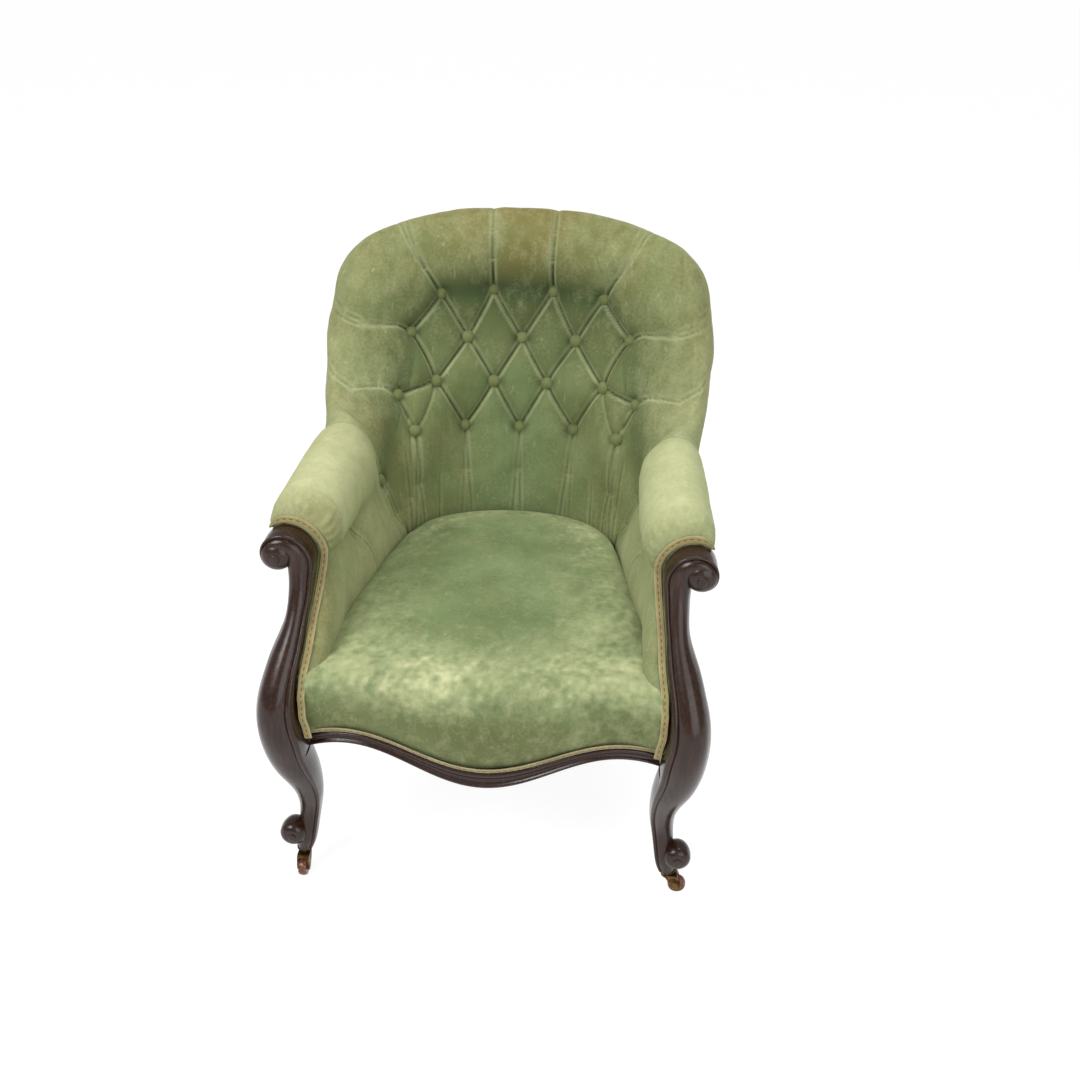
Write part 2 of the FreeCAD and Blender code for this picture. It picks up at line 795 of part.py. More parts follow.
# Wooden frame.
both_sides("front_leg", drilled(front_leg(), ("front", "side_front")))
both_sides("rear_leg", drilled(rear_leg(), ("back", "side_back")))
rail = drilled(front_rail(), ("front",))
feature("front_seat_rail", flip(drilled(flip(rail), ("front",))))
thick_in = Vector(-size["rail_thick"], 0, 0)
side_plan = [(p.x, p.y) for p in (SIDE_RAIL_FRONT, SIDE_RAIL_BACK, SIDE_RAIL_BACK + thick_in,
                                  SIDE_RAIL_FRONT + thick_in)]
side = prism(side_plan, size["rail_bottom"], size["rail_top"])
both_sides("side_seat_rail", drilled(side, ("side_front", "side_back")))

back_rail = doc.addObject("Part::Box", "back_rail_blank")
back_rail.setExpression("Length", "2 * sizes.back_rail_half")
back_rail.setExpression("Width", "sizes.rail_thick")
back_rail.setExpression("Height", "sizes.rail_top - sizes.rail_bottom")
back_rail.setExpression("Placement.Base.x", "-sizes.back_rail_half")
back_rail.setExpression("Placement.Base.y", "sizes.back_rail_front")
back_rail.setExpression("Placement.Base.z", "sizes.rail_bottom")
holes = []
for joint, centre, direction in dowel_places():
    if joint == "back":
        for sign in (-1, 1):
            hole = doc.addObject("Part::Cylinder", "back_rail_hole")
            hole.setExpression("Radius", "sizes.dowel_radius + sizes.drill_gap")
            hole.setExpression("Height", "sizes.dowel_length + 1")
            middle = Vector(sign * centre.x, centre.y, centre.z)
            start = middle - direction * ((size["dowel_length"] + 1) / 2)
            hole.Placement = FreeCAD.Placement(start, FreeCAD.Rotation(Vector(0, 0, 1), direction))
            holes.append(hole)
hole_set = doc.addObject("Part::MultiFuse", "back_rail_holes")
hole_set.Shapes = holes
drilled_rail = doc.addObject("Part::Cut", "back_seat_rail")
drilled_rail.Base = back_rail
drilled_rail.Tool = hole_set
keep(drilled_rail, "back_seat_rail")

tack_rail = doc.addObject("Part::Box", "back_tacking_rail")
tack_rail.setExpression("Length", "2 * sizes.back_rail_half")
tack_rail.setExpression("Width", "sizes.tack_rail_thick")
tack_rail.setExpression("Height", "sizes.tack_rail_height")
tack_rail.setExpression("Placement.Base.x", "-sizes.back_rail_half")
tack_rail.setExpression("Placement.Base.y", "sizes.back_rail_front + 6")
tack_rail.setExpression("Placement.Base.z", "sizes.tack_rail_bottom")
keep(tack_rail, "back_tacking_rail")

right = back_stations()
whole = [station.flipped() for station in right[:0:-1]] + right
arms = arm_stations()
top = [station.flipped() for station in right[3:0:-1]] + right[:4]
feature("crest_rail", Part.makeLoft([station.rail_wire() for station in top], True, True))
both_sides("wing_rail", Part.makeLoft([station.rail_wire() for station in right[3:]], True, True))
both_sides("arm_rail", Part.makeLoft([station.rail_wire() for station in arms], True, True))

block_front = [(276, -327), (212, -327), (270, -263)]
block_back = [(188, 261), (188, 235), (150, 261)]
blocks = []
for plan in (block_front, block_back):
    block = prism(plan, size["rail_bottom"] + 8, size["rail_top"] - 8)
    blocks += [block, flip(block)]
feature("corner_blocks", Part.makeCompound(blocks))

dowels = []
for joint, centre, direction in dowel_places():
    dowel = rod(centre, direction, size["dowel_radius"], size["dowel_length"])
    dowels += [dowel, flip(dowel)]
feature("frame_dowels", Part.makeCompound(dowels))

# Seat, from the webbing up.
feature("seat_webbing", webbing())
feature("seat_springs", seat_springs())
HESSIAN = [(244, -322), (240, -247), (224, -160), (207, -70), (191, 25), (178, 98), (138, 154), (60, 196)]
hessian_plan = HESSIAN + [(-x, y) for x, y in reversed(HESSIAN)]
feature("seat_hessian", prism(hessian_plan, size["seat_bottom"] - 2.2, size["seat_bottom"] - 0.4))
feature("front_edge_roll", edge_roll())
feature("seat_pad", seat_pad())
LINING = [(262, -322), (196, 250)]
lining_plan = LINING + [(-x, y) for x, y in reversed(LINING)]
lining_top = size["rail_bottom"] - 2 * size["web_thick"] - 0.8
feature("bottom_lining", prism(lining_plan, lining_top - 1, lining_top))

# Padding and covers.
feature("tufted_back_pad", Part.makeLoft([station.pad_wire() for station in whole], True, True))
feature("back_canvas", Part.makeLoft([station.canvas_wire() for station in whole], True, True))
corner = 4
outside = [station.flipped() for station in right[corner:0:-1]] + right[:corner + 1]
feature("outside_back_cover", Part.makeLoft([station.cover_wire() for station in outside], True, True))
both_sides("arm_pad", Part.makeLoft([station.pad_wire() for station in arms], True, True))
side_run = [corner_station(right[corner])] + right[corner + 1:] + arms[1:]
both_sides("outside_arm_cover", arm_cover(side_run))
both_sides("arm_front_pad", arm_front())
both_sides("arm_braid", arm_braid())
feature("front_braid", front_braid())

# Covered buttons, each a domed disc that faces the sitter.
facing = {"top_in": 1, "top_out": 3, "upper_mid": 0, "upper_in": 2, "upper_out": 6, "lower_in": 1,
          "lower_mid": 3, "lower_out": 8, "foot_mid": 0, "foot_in": 2, "foot_out": 6, "arm": 10}


def button(point, way):
    """Cap of a sphere whose flat back lies in the pad."""
    wide = size["button_radius"]
    tall = size["button_tall"]
    ball = (wide * wide + tall * tall) / (2 * tall)
    start = math.degrees(math.asin((ball - tall) / ball))
    back = point + way * size["button_proud"]
    return Part.makeSphere(ball, back - way * (ball - tall), way, start, 90, 360)


caps = []
for name, point in BUTTONS.items():
    way = right[facing[name]].out * -1
    caps.append(button(point, way))
    if point.x > 1:
        caps.append(button(Vector(-point.x, point.y, point.z), Vector(-way.x, way.y, way.z)))
feature("upholstery_buttons", Part.makeCompound(caps))


# Castors. Each stands in its own frame: the swivel axis is Z, and the wheel trails toward +X.

def plane_of(body, role):
    return next(item for item in body.Origin.OriginFeatures if item.Role == role)


def sketch(body, role, name, lift=None):
    """An empty sketch on one of the body's own planes."""
    made = body.newObject("Sketcher::SketchObject", name)
    made.AttachmentSupport = [(plane_of(body, role), "")]
    made.MapMode = "FlatFace"
    if lift is not None:
        made.AttachmentOffset = FreeCAD.Placement(lift, FreeCAD.Rotation())
    return made


def circle(made, centre, alias):
    """A circle whose radius is bound to the sheet."""
    index = made.addGeometry(Part.Circle(centre, Vector(0, 0, 1), 1.0))
    row = made.addConstraint(Sketcher.Constraint("Radius", index, 1.0))
    made.setExpression("Constraints[%d]" % row, alias)


def pull(body, kind, name, profile, length, symmetric=True):
    """A pad or pocket of a sketch, with its length bound to the sheet."""
    made = body.newObject("PartDesign::" + kind, name)
    made.Profile = profile
    made.setExpression("Length", length)
    if symmetric:
        made.SideType = "Symmetric"
    return made


def castor_horn(name):
    body = doc.addObject("PartDesign::Body", name)
    bridge = size["fork_bridge"]
    trail = size["trail"]
    hub = size["wheel_radius"]
    cheek = sketch(body, "XZ_Plane", name + "_cheek")
    top = bridge + 5
    corners = [Vector(-4, top, 0), Vector(trail - 5, hub - 3, 0), Vector(trail + 5.6, hub + 1, 0),
               Vector(trail - 1, top, 0)]
    cheek.addGeometry(Part.Arc(corners[0], Vector(trail * 0.32, hub + 6, 0), corners[1]))
    cheek.addGeometry(Part.Arc(corners[1], Vector(trail + 1.5, hub - 5.4, 0), corners[2]))
    cheek.addGeometry(Part.Arc(corners[2], Vector(trail + 3.5, hub + 13, 0), corners[3]))
    cheek.addGeometry(Part.LineSegment(corners[3], corners[0]))
    pull(body, "Pad", name + "_fork", cheek, "sizes.fork_wide")
    slot = sketch(body, "XZ_Plane", name + "_slot")
    box = [Vector(-20, -5, 0), Vector(45, -5, 0), Vector(45, bridge, 0), Vector(-20, bridge, 0)]
    for a, b in zip(box, box[1:] + box[:1]):
        slot.addGeometry(Part.LineSegment(a, b))
    pull(body, "Pocket", name + "_wheel_slot", slot, "sizes.fork_slot")
    boss = sketch(body, "XY_Plane", name + "_boss_ring", Vector(0, 0, bridge))
    circle(boss, Vector(0, 0, 0), "sizes.boss_radius")
    pull(body, "Pad", name + "_boss", boss, "sizes.boss_top - sizes.fork_bridge", False)
    bore = sketch(body, "XY_Plane", name + "_bore_ring", Vector(0, 0, bridge))
    circle(bore, Vector(0, 0, 0), "sizes.peg_radius + sizes.running_gap")
    pull(body, "Pocket", name + "_bore", bore, "4 * sizes.boss_radius")
    pin = sketch(body, "XZ_Plane", name + "_pin_ring")
    circle(pin, Vector(trail, hub, 0), "sizes.axle_radius + sizes.running_gap")
    pull(body, "Pocket", name + "_pin_hole", pin, "2 * sizes.fork_wide")
    return body


def castor_wheel(name):
    body = doc.addObject("PartDesign::Body", name)
    profile = sketch(body, "XY_Plane", name + "_profile", Vector(size["trail"], 0, size["wheel_radius"]))
    bore = size["axle_radius"] + size["running_gap"]
    rim = size["wheel_radius"]
    edge = rim - size["wheel_crown"]
    half = size["wheel_wide"] / 2
    profile.addGeometry(Part.LineSegment(Vector(bore, -half, 0), Vector(edge, -half, 0)))
    profile.addGeometry(Part.Arc(Vector(edge, -half, 0), Vector(rim, 0, 0), Vector(edge, half, 0)))
    profile.addGeometry(Part.LineSegment(Vector(edge, half, 0), Vector(bore, half, 0)))
    profile.addGeometry(Part.LineSegment(Vector(bore, half, 0), Vector(bore, -half, 0)))
    turned = body.newObject("PartDesign::Revolution", name + "_turned")
    turned.Profile = profile
    turned.ReferenceAxis = (profile, ["V_Axis"])
    turned.Angle = 360
    return body


def castor_plate(name):
    """Flange with a peg above it and a headed pintle below it."""
    pieces = (
        ("peg", "sizes.peg_radius", "sizes.peg_length", "sizes.castor_height"),
        ("flange", "sizes.flange_radius", "sizes.flange_thick", "sizes.castor_height - sizes.flange_thick"),
        ("pintle", "sizes.peg_radius", "sizes.pintle_length",
         "sizes.castor_height - sizes.flange_thick - sizes.pintle_length"),
        ("head", "sizes.head_radius", "sizes.head_thick",
         "sizes.castor_height - sizes.flange_thick - sizes.pintle_length - sizes.head_thick"),
    )
    made = []
    for part, radius, height, base in pieces:
        piece = doc.addObject("Part::Cylinder", name + "_" + part)
        piece.setExpression("Radius", radius)
        piece.setExpression("Height", height)
        piece.setExpression("Placement.Base.z", base)
        made.append(piece)
    plate = doc.addObject("Part::MultiFuse", name)
    plate.Shapes = made
    plate.Refine = True
    return plate


def castor_axle(name):
    axle = doc.addObject("Part::Cylinder", name)
    axle.setExpression("Radius", "sizes.axle_radius")
    axle.setExpression("Height", "sizes.fork_wide")
    return axle


CASTORS = (
    ("front_left", -1, "foot", -90),
    ("front_right", 1, "foot", 0),
    ("rear_left", -1, "rear_foot", 115),
    ("rear_right", 1, "rear_foot", 70),
)
for where, side_sign, foot, heading in CASTORS:
    spot = Vector(side_sign * size[foot + "_x"], size[foot + "_y"], 0)
    turn = FreeCAD.Rotation(Vector(0, 0, 1), heading)
    stand = FreeCAD.Placement(spot, turn)
    plate = keep(castor_plate("castor_plate_" + where), "castor_plate_" + where)
    horn = keep(castor_horn("castor_horn_" + where), "castor_horn_" + where)
    wheel = keep(castor_wheel("castor_wheel_" + where), "castor_wheel_" + where)
    axle = keep(castor_axle("castor_axle_" + where), "castor_axle_" + where)
    for item in (plate, horn, wheel):
        item.Placement = stand
    lie = FreeCAD.Placement(Vector(size["trail"], size["fork_wide"] / 2, size["wheel_radius"]),
                            FreeCAD.Rotation(Vector(1, 0, 0), 90))
    axle.Placement = stand.multiply(lie)

doc.recompute()
os.makedirs("parts", exist_ok=True)
for obj in doc.Objects:
    if "Invalid" in obj.State or "Error" in obj.State:
        raise RuntimeError("%s is in error: %s" % (obj.Name, obj.State))
for obj in nodes:
    shape = obj.Shape
    if shape.isNull() or not shape.isValid() or not shape.Solids:
        raise RuntimeError("%s has no valid solid" % obj.Label)
    shape.exportStep("parts/%s.step" % obj.Label)
    print(obj.Label, len(shape.Solids), round(shape.Volume / 1000, 1), "cm3")
print(len(nodes), "nodes")
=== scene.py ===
"""Looks of the spoon back chair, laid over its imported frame.

Worn green velvet over a buttoned back, carved mahogany legs, woven braid and small brass castors.
"""

from __future__ import annotations

import json
import logging
import math
from dataclasses import dataclass, field
from enum import Enum, IntEnum

import bpy
import numpy as np
from bpy.types import Material, Node
from bpy.types import NodeSocket as Socket
from bpy.types import NodeTree as Tree
from bpy.types import Object as Piece
from mathutils import Matrix, Vector, noise

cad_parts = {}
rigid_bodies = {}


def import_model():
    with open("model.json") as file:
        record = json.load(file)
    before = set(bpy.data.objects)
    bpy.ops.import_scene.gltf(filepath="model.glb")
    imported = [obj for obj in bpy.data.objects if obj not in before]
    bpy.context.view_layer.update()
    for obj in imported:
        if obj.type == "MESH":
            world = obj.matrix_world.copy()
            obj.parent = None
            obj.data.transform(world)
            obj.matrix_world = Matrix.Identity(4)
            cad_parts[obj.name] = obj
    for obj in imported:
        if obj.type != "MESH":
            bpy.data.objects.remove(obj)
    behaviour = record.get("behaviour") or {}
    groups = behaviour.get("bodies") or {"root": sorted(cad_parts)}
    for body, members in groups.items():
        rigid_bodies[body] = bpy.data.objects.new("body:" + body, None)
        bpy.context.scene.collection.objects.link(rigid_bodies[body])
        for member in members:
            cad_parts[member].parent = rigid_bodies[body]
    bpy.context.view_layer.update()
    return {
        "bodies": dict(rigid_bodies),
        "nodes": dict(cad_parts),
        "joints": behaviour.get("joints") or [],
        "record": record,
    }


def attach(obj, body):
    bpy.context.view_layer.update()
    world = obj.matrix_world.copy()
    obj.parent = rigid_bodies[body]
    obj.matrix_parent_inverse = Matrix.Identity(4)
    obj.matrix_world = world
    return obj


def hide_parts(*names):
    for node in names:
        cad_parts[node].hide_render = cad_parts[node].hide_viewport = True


MM = 0.001
# Turns a place on the right half into its twin on the left.
FLIP = np.array([-1.0, 1.0, 1.0])
# Body that carries everything but the castors.
CHAIR = "chair_frame"
log = logging.getLogger("chair")

Settings = dict[str | int, object]
Array = np.ndarray
Point = tuple[float, float, float]
Span = tuple[float, float, float, float]
# One value for each Row.
Rows = tuple[float, ...]


class Row(IntEnum):
    """Rows of a padding section, from under the seat up over the roll and down behind it."""

    UNDER = 0
    SEAT = 1
    LOW = 2
    FOOT = 3
    WAIST = 4
    UPPER = 5
    NECK = 6
    ROLL = 7
    RISE = 8
    CREST = 9
    OVER = 10
    OUTER = 11
    TAIL = 12
    HEM = 13


class Side(Enum):
    """The two sides of the chair, as the sign of X."""

    LEFT = -1
    RIGHT = 1


class Slot(Enum):
    """Material slots of the record."""

    VELVET = "green_velvet"
    BRAID = "woven_braid"
    MAHOGANY = "mahogany"
    BRASS = "tarnished_brass"
    BOWL = "castor_bowl"


# Sections of the back's padding in mm, from the middle to the joint with the right arm.
# Each has one point for every Row; the rows up to NECK lie at the depth of the pleats.
BACK_STATIONS = (
    ((0, 222, 345), (0, 208, 388), (0, 240, 480), (0, 268, 558), (0, 286, 645), (0, 313, 722), (0, 322, 803),
     (0, 312, 868), (0, 330, 915), (0, 368, 943), (0, 402, 932), (0, 414, 900), (0, 408, 852), (0, 396, 850)),
    ((52, 219, 345), (53, 205, 388), (51, 237, 480), (51, 265, 558), (50, 279, 645), (51, 309, 722),
     (55, 321, 804), (55, 310, 868), (56, 328, 914), (57, 366, 942), (58, 400, 931), (58, 412, 899),
     (58, 406, 851), (57, 394, 849)),
    ((104, 204, 345), (104, 190, 388), (102, 228, 480), (103, 259, 557), (102, 268, 646), (101, 302, 719),
     (106, 312, 803), (114, 301, 866), (121, 319, 910), (128, 358, 938), (133, 391, 926), (134, 403, 894),
     (131, 397, 847), (129, 386, 845)),
    ((152, 176, 345), (150, 160, 388), (148, 196, 480), (147, 226, 562), (154, 250, 649), (150, 288, 728),
     (149, 298, 801), (178, 290, 852), (202, 300, 893), (222, 332, 918), (236, 362, 906), (240, 375, 876),
     (229, 369, 833), (224, 358, 832)),
    ((168, 158, 345), (166, 142, 388), (163, 178, 480), (160, 208, 565), (172, 236, 650), (178, 272, 735),
     (190, 275, 790), (226, 262, 835), (258, 270, 872), (283, 299, 894), (298, 327, 884), (299, 341, 858),
     (280, 341, 820), (274, 331, 820)),
    ((179, 143, 345), (177, 127, 388), (174, 160, 480), (172, 190, 570), (182, 226, 655), (193, 266, 738),
     (214, 262, 778), (262, 240, 806), (298, 246, 835), (322, 274, 850), (334, 300, 842), (331, 314, 820),
     (304, 320, 793), (297, 311, 793)),
    ((188, 133, 345), (185, 118, 388), (182, 148, 480), (184, 173, 577), (190, 214, 655), (200, 261, 739),
     (232, 248, 755), (283, 217, 764), (320, 222, 777), (340, 248, 786), (347, 275, 780), (340, 292, 765),
     (308, 303, 748), (301, 295, 748)),
    ((191, 127, 345), (188, 113, 388), (188, 142, 470), (196, 168, 560), (203, 195, 635), (206, 226, 700),
     (240, 212, 714), (290, 182, 716), (327, 191, 731), (346, 218, 743), (352, 245, 738), (344, 263, 722),
     (315, 275, 702), (308, 267, 702)),
    ((194, 122, 345), (190, 109, 388), (194, 132, 460), (206, 155, 545), (213, 172, 610), (217, 183, 648),
     (248, 168, 664), (294, 142, 668), (327, 155, 686), (341, 184, 699), (348, 209, 694), (343, 226, 678),
     (317, 238, 655), (310, 231, 656)),
    ((197, 119, 345), (192, 106, 388), (203, 120, 450), (215, 134, 520), (221, 140, 565), (226, 140, 590),
     (246, 126, 612), (276, 106, 632), (302, 104, 650), (322, 118, 658), (338, 135, 652), (340, 147, 632),
     (325, 150, 598), (317, 146, 598)),
    ((200, 104, 345), (193, 104, 388), (213, 99, 440), (226, 94.5, 490), (231, 93, 518), (237, 92, 545),
     (246, 89, 575), (258, 85, 610), (272, 80, 636), (288, 75.6, 648), (308, 70, 645), (326, 64.5, 622),
     (322, 65, 584), (313, 67, 583)),
)

# Sections of the arm's padding in mm, behind its rounded front: depth, then x and z for every Row.
ARM_STATIONS = (
    (25, ((209, 345), (204, 392), (208, 445), (222, 495), (232, 525), (231, 555), (230, 590), (240, 625),
          (262, 647), (290, 655), (316, 646), (330, 620), (320, 585), (310, 586))),
    (-70, ((225, 345), (219, 396), (214, 450), (228, 500), (240, 532), (230, 560), (227, 592), (236, 628),
           (258, 650), (288, 659), (318, 649), (335, 622), (319, 588), (308, 590))),
    (-160, ((242, 345), (236, 400), (230, 455), (240, 505), (248, 538), (234, 564), (228, 594), (237, 629),
            (260, 650), (290, 659), (320, 648), (338, 621), (320, 586), (308, 588))),
    (-215, ((251, 345), (245, 402), (240, 458), (248, 510), (254, 541), (238, 566), (233, 594), (242, 627),
            (263, 647), (292, 655), (322, 645), (341, 617), (320, 585), (308, 587))),
)

# Button seats in mm on the right half; all but the middle ones have a twin on the left.
BUTTONS = {
    "top_in": (55, 322, 805), "top_out": (147, 300, 800), "upper_mid": (0, 315, 716),
    "upper_in": (101, 303, 718), "upper_out": (200, 262, 740), "lower_in": (49, 278, 643),
    "lower_mid": (155, 250, 650), "lower_out": (216, 182, 646), "foot_mid": (0, 268, 555),
    "foot_in": (103, 260, 557), "foot_out": (184, 172, 580), "arm": (230, 93, 515),
}

# Pleats from button to button, and how hard each holds the cover.
DIAMONDS = (
    ("top_in", "upper_mid", 1.0), ("top_in", "upper_in", 1.0), ("top_out", "upper_in", 1.0),
    ("top_out", "upper_out", 1.0), ("upper_mid", "lower_in", 1.0), ("upper_in", "lower_in", 1.0),
    ("upper_in", "lower_mid", 1.0), ("upper_out", "lower_mid", 1.0), ("lower_mid", "lower_out", 1.0),
    ("lower_in", "foot_mid", 1.0), ("lower_in", "foot_in", 1.0), ("lower_mid", "foot_in", 1.0),
    ("lower_mid", "foot_out", 0.5), ("lower_out", "foot_out", 0.7),
)

# Pleats that run up or down the padding: section and Row where each starts, section and Row where it ends,
# how hard it holds the cover at each end, and its reach in mm.
RUNS = (
    (1, Row.NECK, 1.05, Row.TAIL, 1.0, 0.05, 3.5), (1, Row.NECK, 0.85, Row.OVER, 0.6, 0.05, 2.5),
    (3, Row.NECK, 2.8, Row.TAIL, 0.9, 0.05, 3.0), (3, Row.NECK, 3.15, Row.TAIL, 0.9, 0.05, 3.0),
    (6, Row.UPPER, 5.45, Row.TAIL, 0.95, 0.05, 3.0), (6, Row.UPPER, 6.1, Row.TAIL, 0.9, 0.05, 3.0),
    (8, Row.UPPER, 7.75, Row.TAIL, 1.0, 0.15, 4.0), (10, Row.WAIST, 10.95, Row.OUTER, 1.0, 0.9, 5.5),
    (10, Row.WAIST, 10.6, Row.OVER, 0.7, 0.45, 3.0), (10, Row.WAIST, 10, Row.SEAT, 0.8, 0.4, 6.0),
    (10, Row.WAIST, 9.4, Row.SEAT, 0.6, 0.2, 5.0), (0, Row.FOOT, 0.16, Row.SEAT, 0.65, 0.35, 8.0),
    (2, Row.FOOT, 1.62, Row.SEAT, 0.65, 0.35, 8.0), (2, Row.FOOT, 2.05, Row.SEAT, 0.5, 0.2, 7.0),
    (6, Row.FOOT, 4.3, Row.SEAT, 0.65, 0.4, 8.0), (6, Row.FOOT, 5.9, Row.SEAT, 0.55, 0.3, 8.0),
    (3, Row.LOW, 2.9, Row.SEAT, 0.2, 0.5, 8.0), (8, Row.FOOT, 7.6, Row.SEAT, 0.2, 0.5, 8.0),
    (12.3, Row.WAIST, 12.0, Row.SEAT, 0.8, 0.3, 8.0), (12.3, Row.WAIST, 12.9, Row.LOW, 0.7, 0.2, 8.0),
    (12.3, Row.WAIST, 12.5, Row.ROLL, 0.7, 0.1, 7.0), (12.3, Row.WAIST, 11.8, Row.NECK, 0.5, 0.1, 6.0),
)

# Outer buttons in order, along which the cover dips between the roll and the tufted field.
VALLEY = ("top_in", "top_out", "upper_out", "lower_out", "arm")

# Places in mm where the inside arm is pulled in without a button, with the depth and reach of each hollow.
PULLS = (((242, -95, 522), 13.0, 27.0), ((246, -150, 470), 5.0, 32.0))


def linear(code: str) -> tuple[float, float, float, float]:
    """Turns an sRGB hex colour into linear red, green, blue and alpha.

    Args:
        code: Colour such as #77864e.

    Returns:
        The four linear channels.
    """
    parts = [int(code[i:i + 2], 16) / 255 for i in (1, 3, 5)]
    low, high = 12.92, 1.055
    r, g, b = (c / low if c <= 0.04045 else ((c + high - 1) / high) ** 2.4 for c in parts)
    return r, g, b, 1.0


def plug(tree: Tree, node: Node, inputs: Settings) -> None:
    """Sets or links the inputs of a node.

    Args:
        tree: Node tree that holds the node.
        node: Node whose inputs are set.
        inputs: Value or source socket for each input, by name or number.
    """
    for name, value in inputs.items():
        if isinstance(value, Socket):
            tree.links.new(value, node.inputs[name])
        else:
            node.inputs[name].default_value = value


def add_node(tree: Tree, kind: str, inputs: Settings, out: int | str = 0, **settings: object) -> Socket:
    """Adds a node with its settings and links.

    Args:
        tree: Node tree of the material.
        kind: Name of the node type, without its common first part.
        inputs: Value or source socket for each input, by name or number.
        out: Name or number of the output that is wanted.
        settings: Other properties of the node.

    Returns:
        The wanted output of the new node.
    """
    node = tree.nodes.new(f"ShaderNode{kind}")
    for name, value in settings.items():
        setattr(node, name, value)
    plug(tree, node, inputs)
    return node.outputs[out]


def new_finish(name: str) -> tuple[Material, Tree, Node]:
    """Starts a material.

    Args:
        name: Name of the real material.

    Returns:
        The material, its node tree and its surface shader.
    """
    material = bpy.data.materials.new(name)
    material.use_nodes = True
    tree = material.node_tree
    return material, tree, tree.nodes["Principled BSDF"]


def per_metre(size_mm: float) -> float:
    """Scale of a pattern whose features have a real size in mm."""
    return 1 / (size_mm * MM)


@dataclass(frozen=True)
class Velvet:
    """Cut cotton velvet, upright pile on a woven ground.

    The pile drinks light face on and pales at a slant; where it has rubbed off, the straw ground shows.
    """

    pile: str = "#657950"
    brushed: str = "#7c8e62"
    # Crushed pile; the same tone also paints the shade in creases.
    crushed_pile_and_shade: str = "#414f30"
    browned: str = "#706839"
    ground: str = "#c3c697"
    sheen: str = "#d8dfae"
    cloud_mm: float = 85.0
    streak_mm: float = 17.0
    fleck_mm: float = 5.0
    scratch_mm: float = 9.0
    # The pile is finer than 1 mm, and is drawn coarse so that it shows.
    nap_mm: float = 1.8
    nap_deep_mm: float = 1.2
    # Streaks and scratches are drawn out along the height.
    streak_scale: Point = (1.0, 0.8, 0.45)
    scratch_scale: Point = (1.0, 1.0, 0.22)
    # Noise at which each look sets in, noise at which it is full, then its least and full share.
    lie: Span = (0.34, 0.66, 0.0, 1.0)
    dull: Span = (0.42, 0.72, 0.0, 0.4)
    bare: Span = (0.49, 1.55, 0.0, 1.0)
    scratched: Span = (0.66, 0.8, 0.0, 0.25)
    # How much streaks and flecks add to the wear, and how pale a folded lip is made: worn bare, with a painted
    # highlight along it.
    streak_wear: float = 0.5
    fleck_wear: float = 0.35
    lip_wear_and_highlight: float = 0.6

    def build(self) -> Material:
        """Makes the material; reads a piece's wear, tan and lip attributes and the crease attribute of painted
        shade.
        """
        material, tree, shader = new_finish("worn_cotton_velvet")
        place = add_node(tree, "TexCoord", {}, "Object")
        upright, hair = (add_node(tree, "Mapping", {"Vector": place, "Scale": scale})
                         for scale in (self.streak_scale, self.scratch_scale))
        cloud, streak, fleck, scratch, nap = (
            add_node(tree, "TexNoise", {"Vector": spot, "Scale": per_metre(size), "Detail": detail})
            for spot, size, detail in (
                (place, self.cloud_mm, 3.0), (upright, self.streak_mm, 3.0), (place, self.fleck_mm, 3.0),
                (hair, self.scratch_mm, 2.0), (place, self.nap_mm, 2.0)))
        rubbed, crease_shade, tan, lip = (add_node(tree, "Attribute", {}, "Fac", attribute_name=name)
                                    for name in ("wear", "crease_shade", "tan", "lip"))
        for source, share in ((streak, self.streak_wear), (fleck, self.fleck_wear)):
            rubbed = add_node(tree, "Math", {0: source, 1: share, 2: rubbed}, operation="MULTIPLY_ADD")
        lie, dull, bare, scratched = (
            add_node(tree, "MapRange", dict(enumerate((value, *span))))
            for value, span in ((cloud, self.lie), (streak, self.dull), (rubbed, self.bare),
                                (scratch, self.scratched)))
        folded = add_node(tree, "Math", {0: lip, 1: self.lip_wear_and_highlight}, operation="MULTIPLY")
        colour = linear(self.pile)
        # The crease attribute mixes in painted shade. The lip attribute mixes in the pale ground for lips that
        # are worn and carry a painted highlight.
        for share, tint in ((lie, self.brushed), (dull, self.crushed_pile_and_shade), (tan, self.browned),
                            (crease_shade, self.crushed_pile_and_shade), (bare, self.ground), (scratched, self.ground),
                            (folded, self.ground)):
            colour = add_node(tree, "Mix", {0: share, 6: colour, 7: linear(tint)}, 2, data_type="RGBA")
        relief = {"Height": nap, "Strength": 0.35, "Distance": self.nap_deep_mm * MM}
        plug(tree, shader, {
            "Base Color": colour, "Normal": add_node(tree, "Bump", relief), "Roughness": 0.92,
            "Specular IOR Level": 0.2, "Sheen Weight": 0.35, "Sheen Roughness": 0.45,
            "Sheen Tint": linear(self.sheen)})
        return material


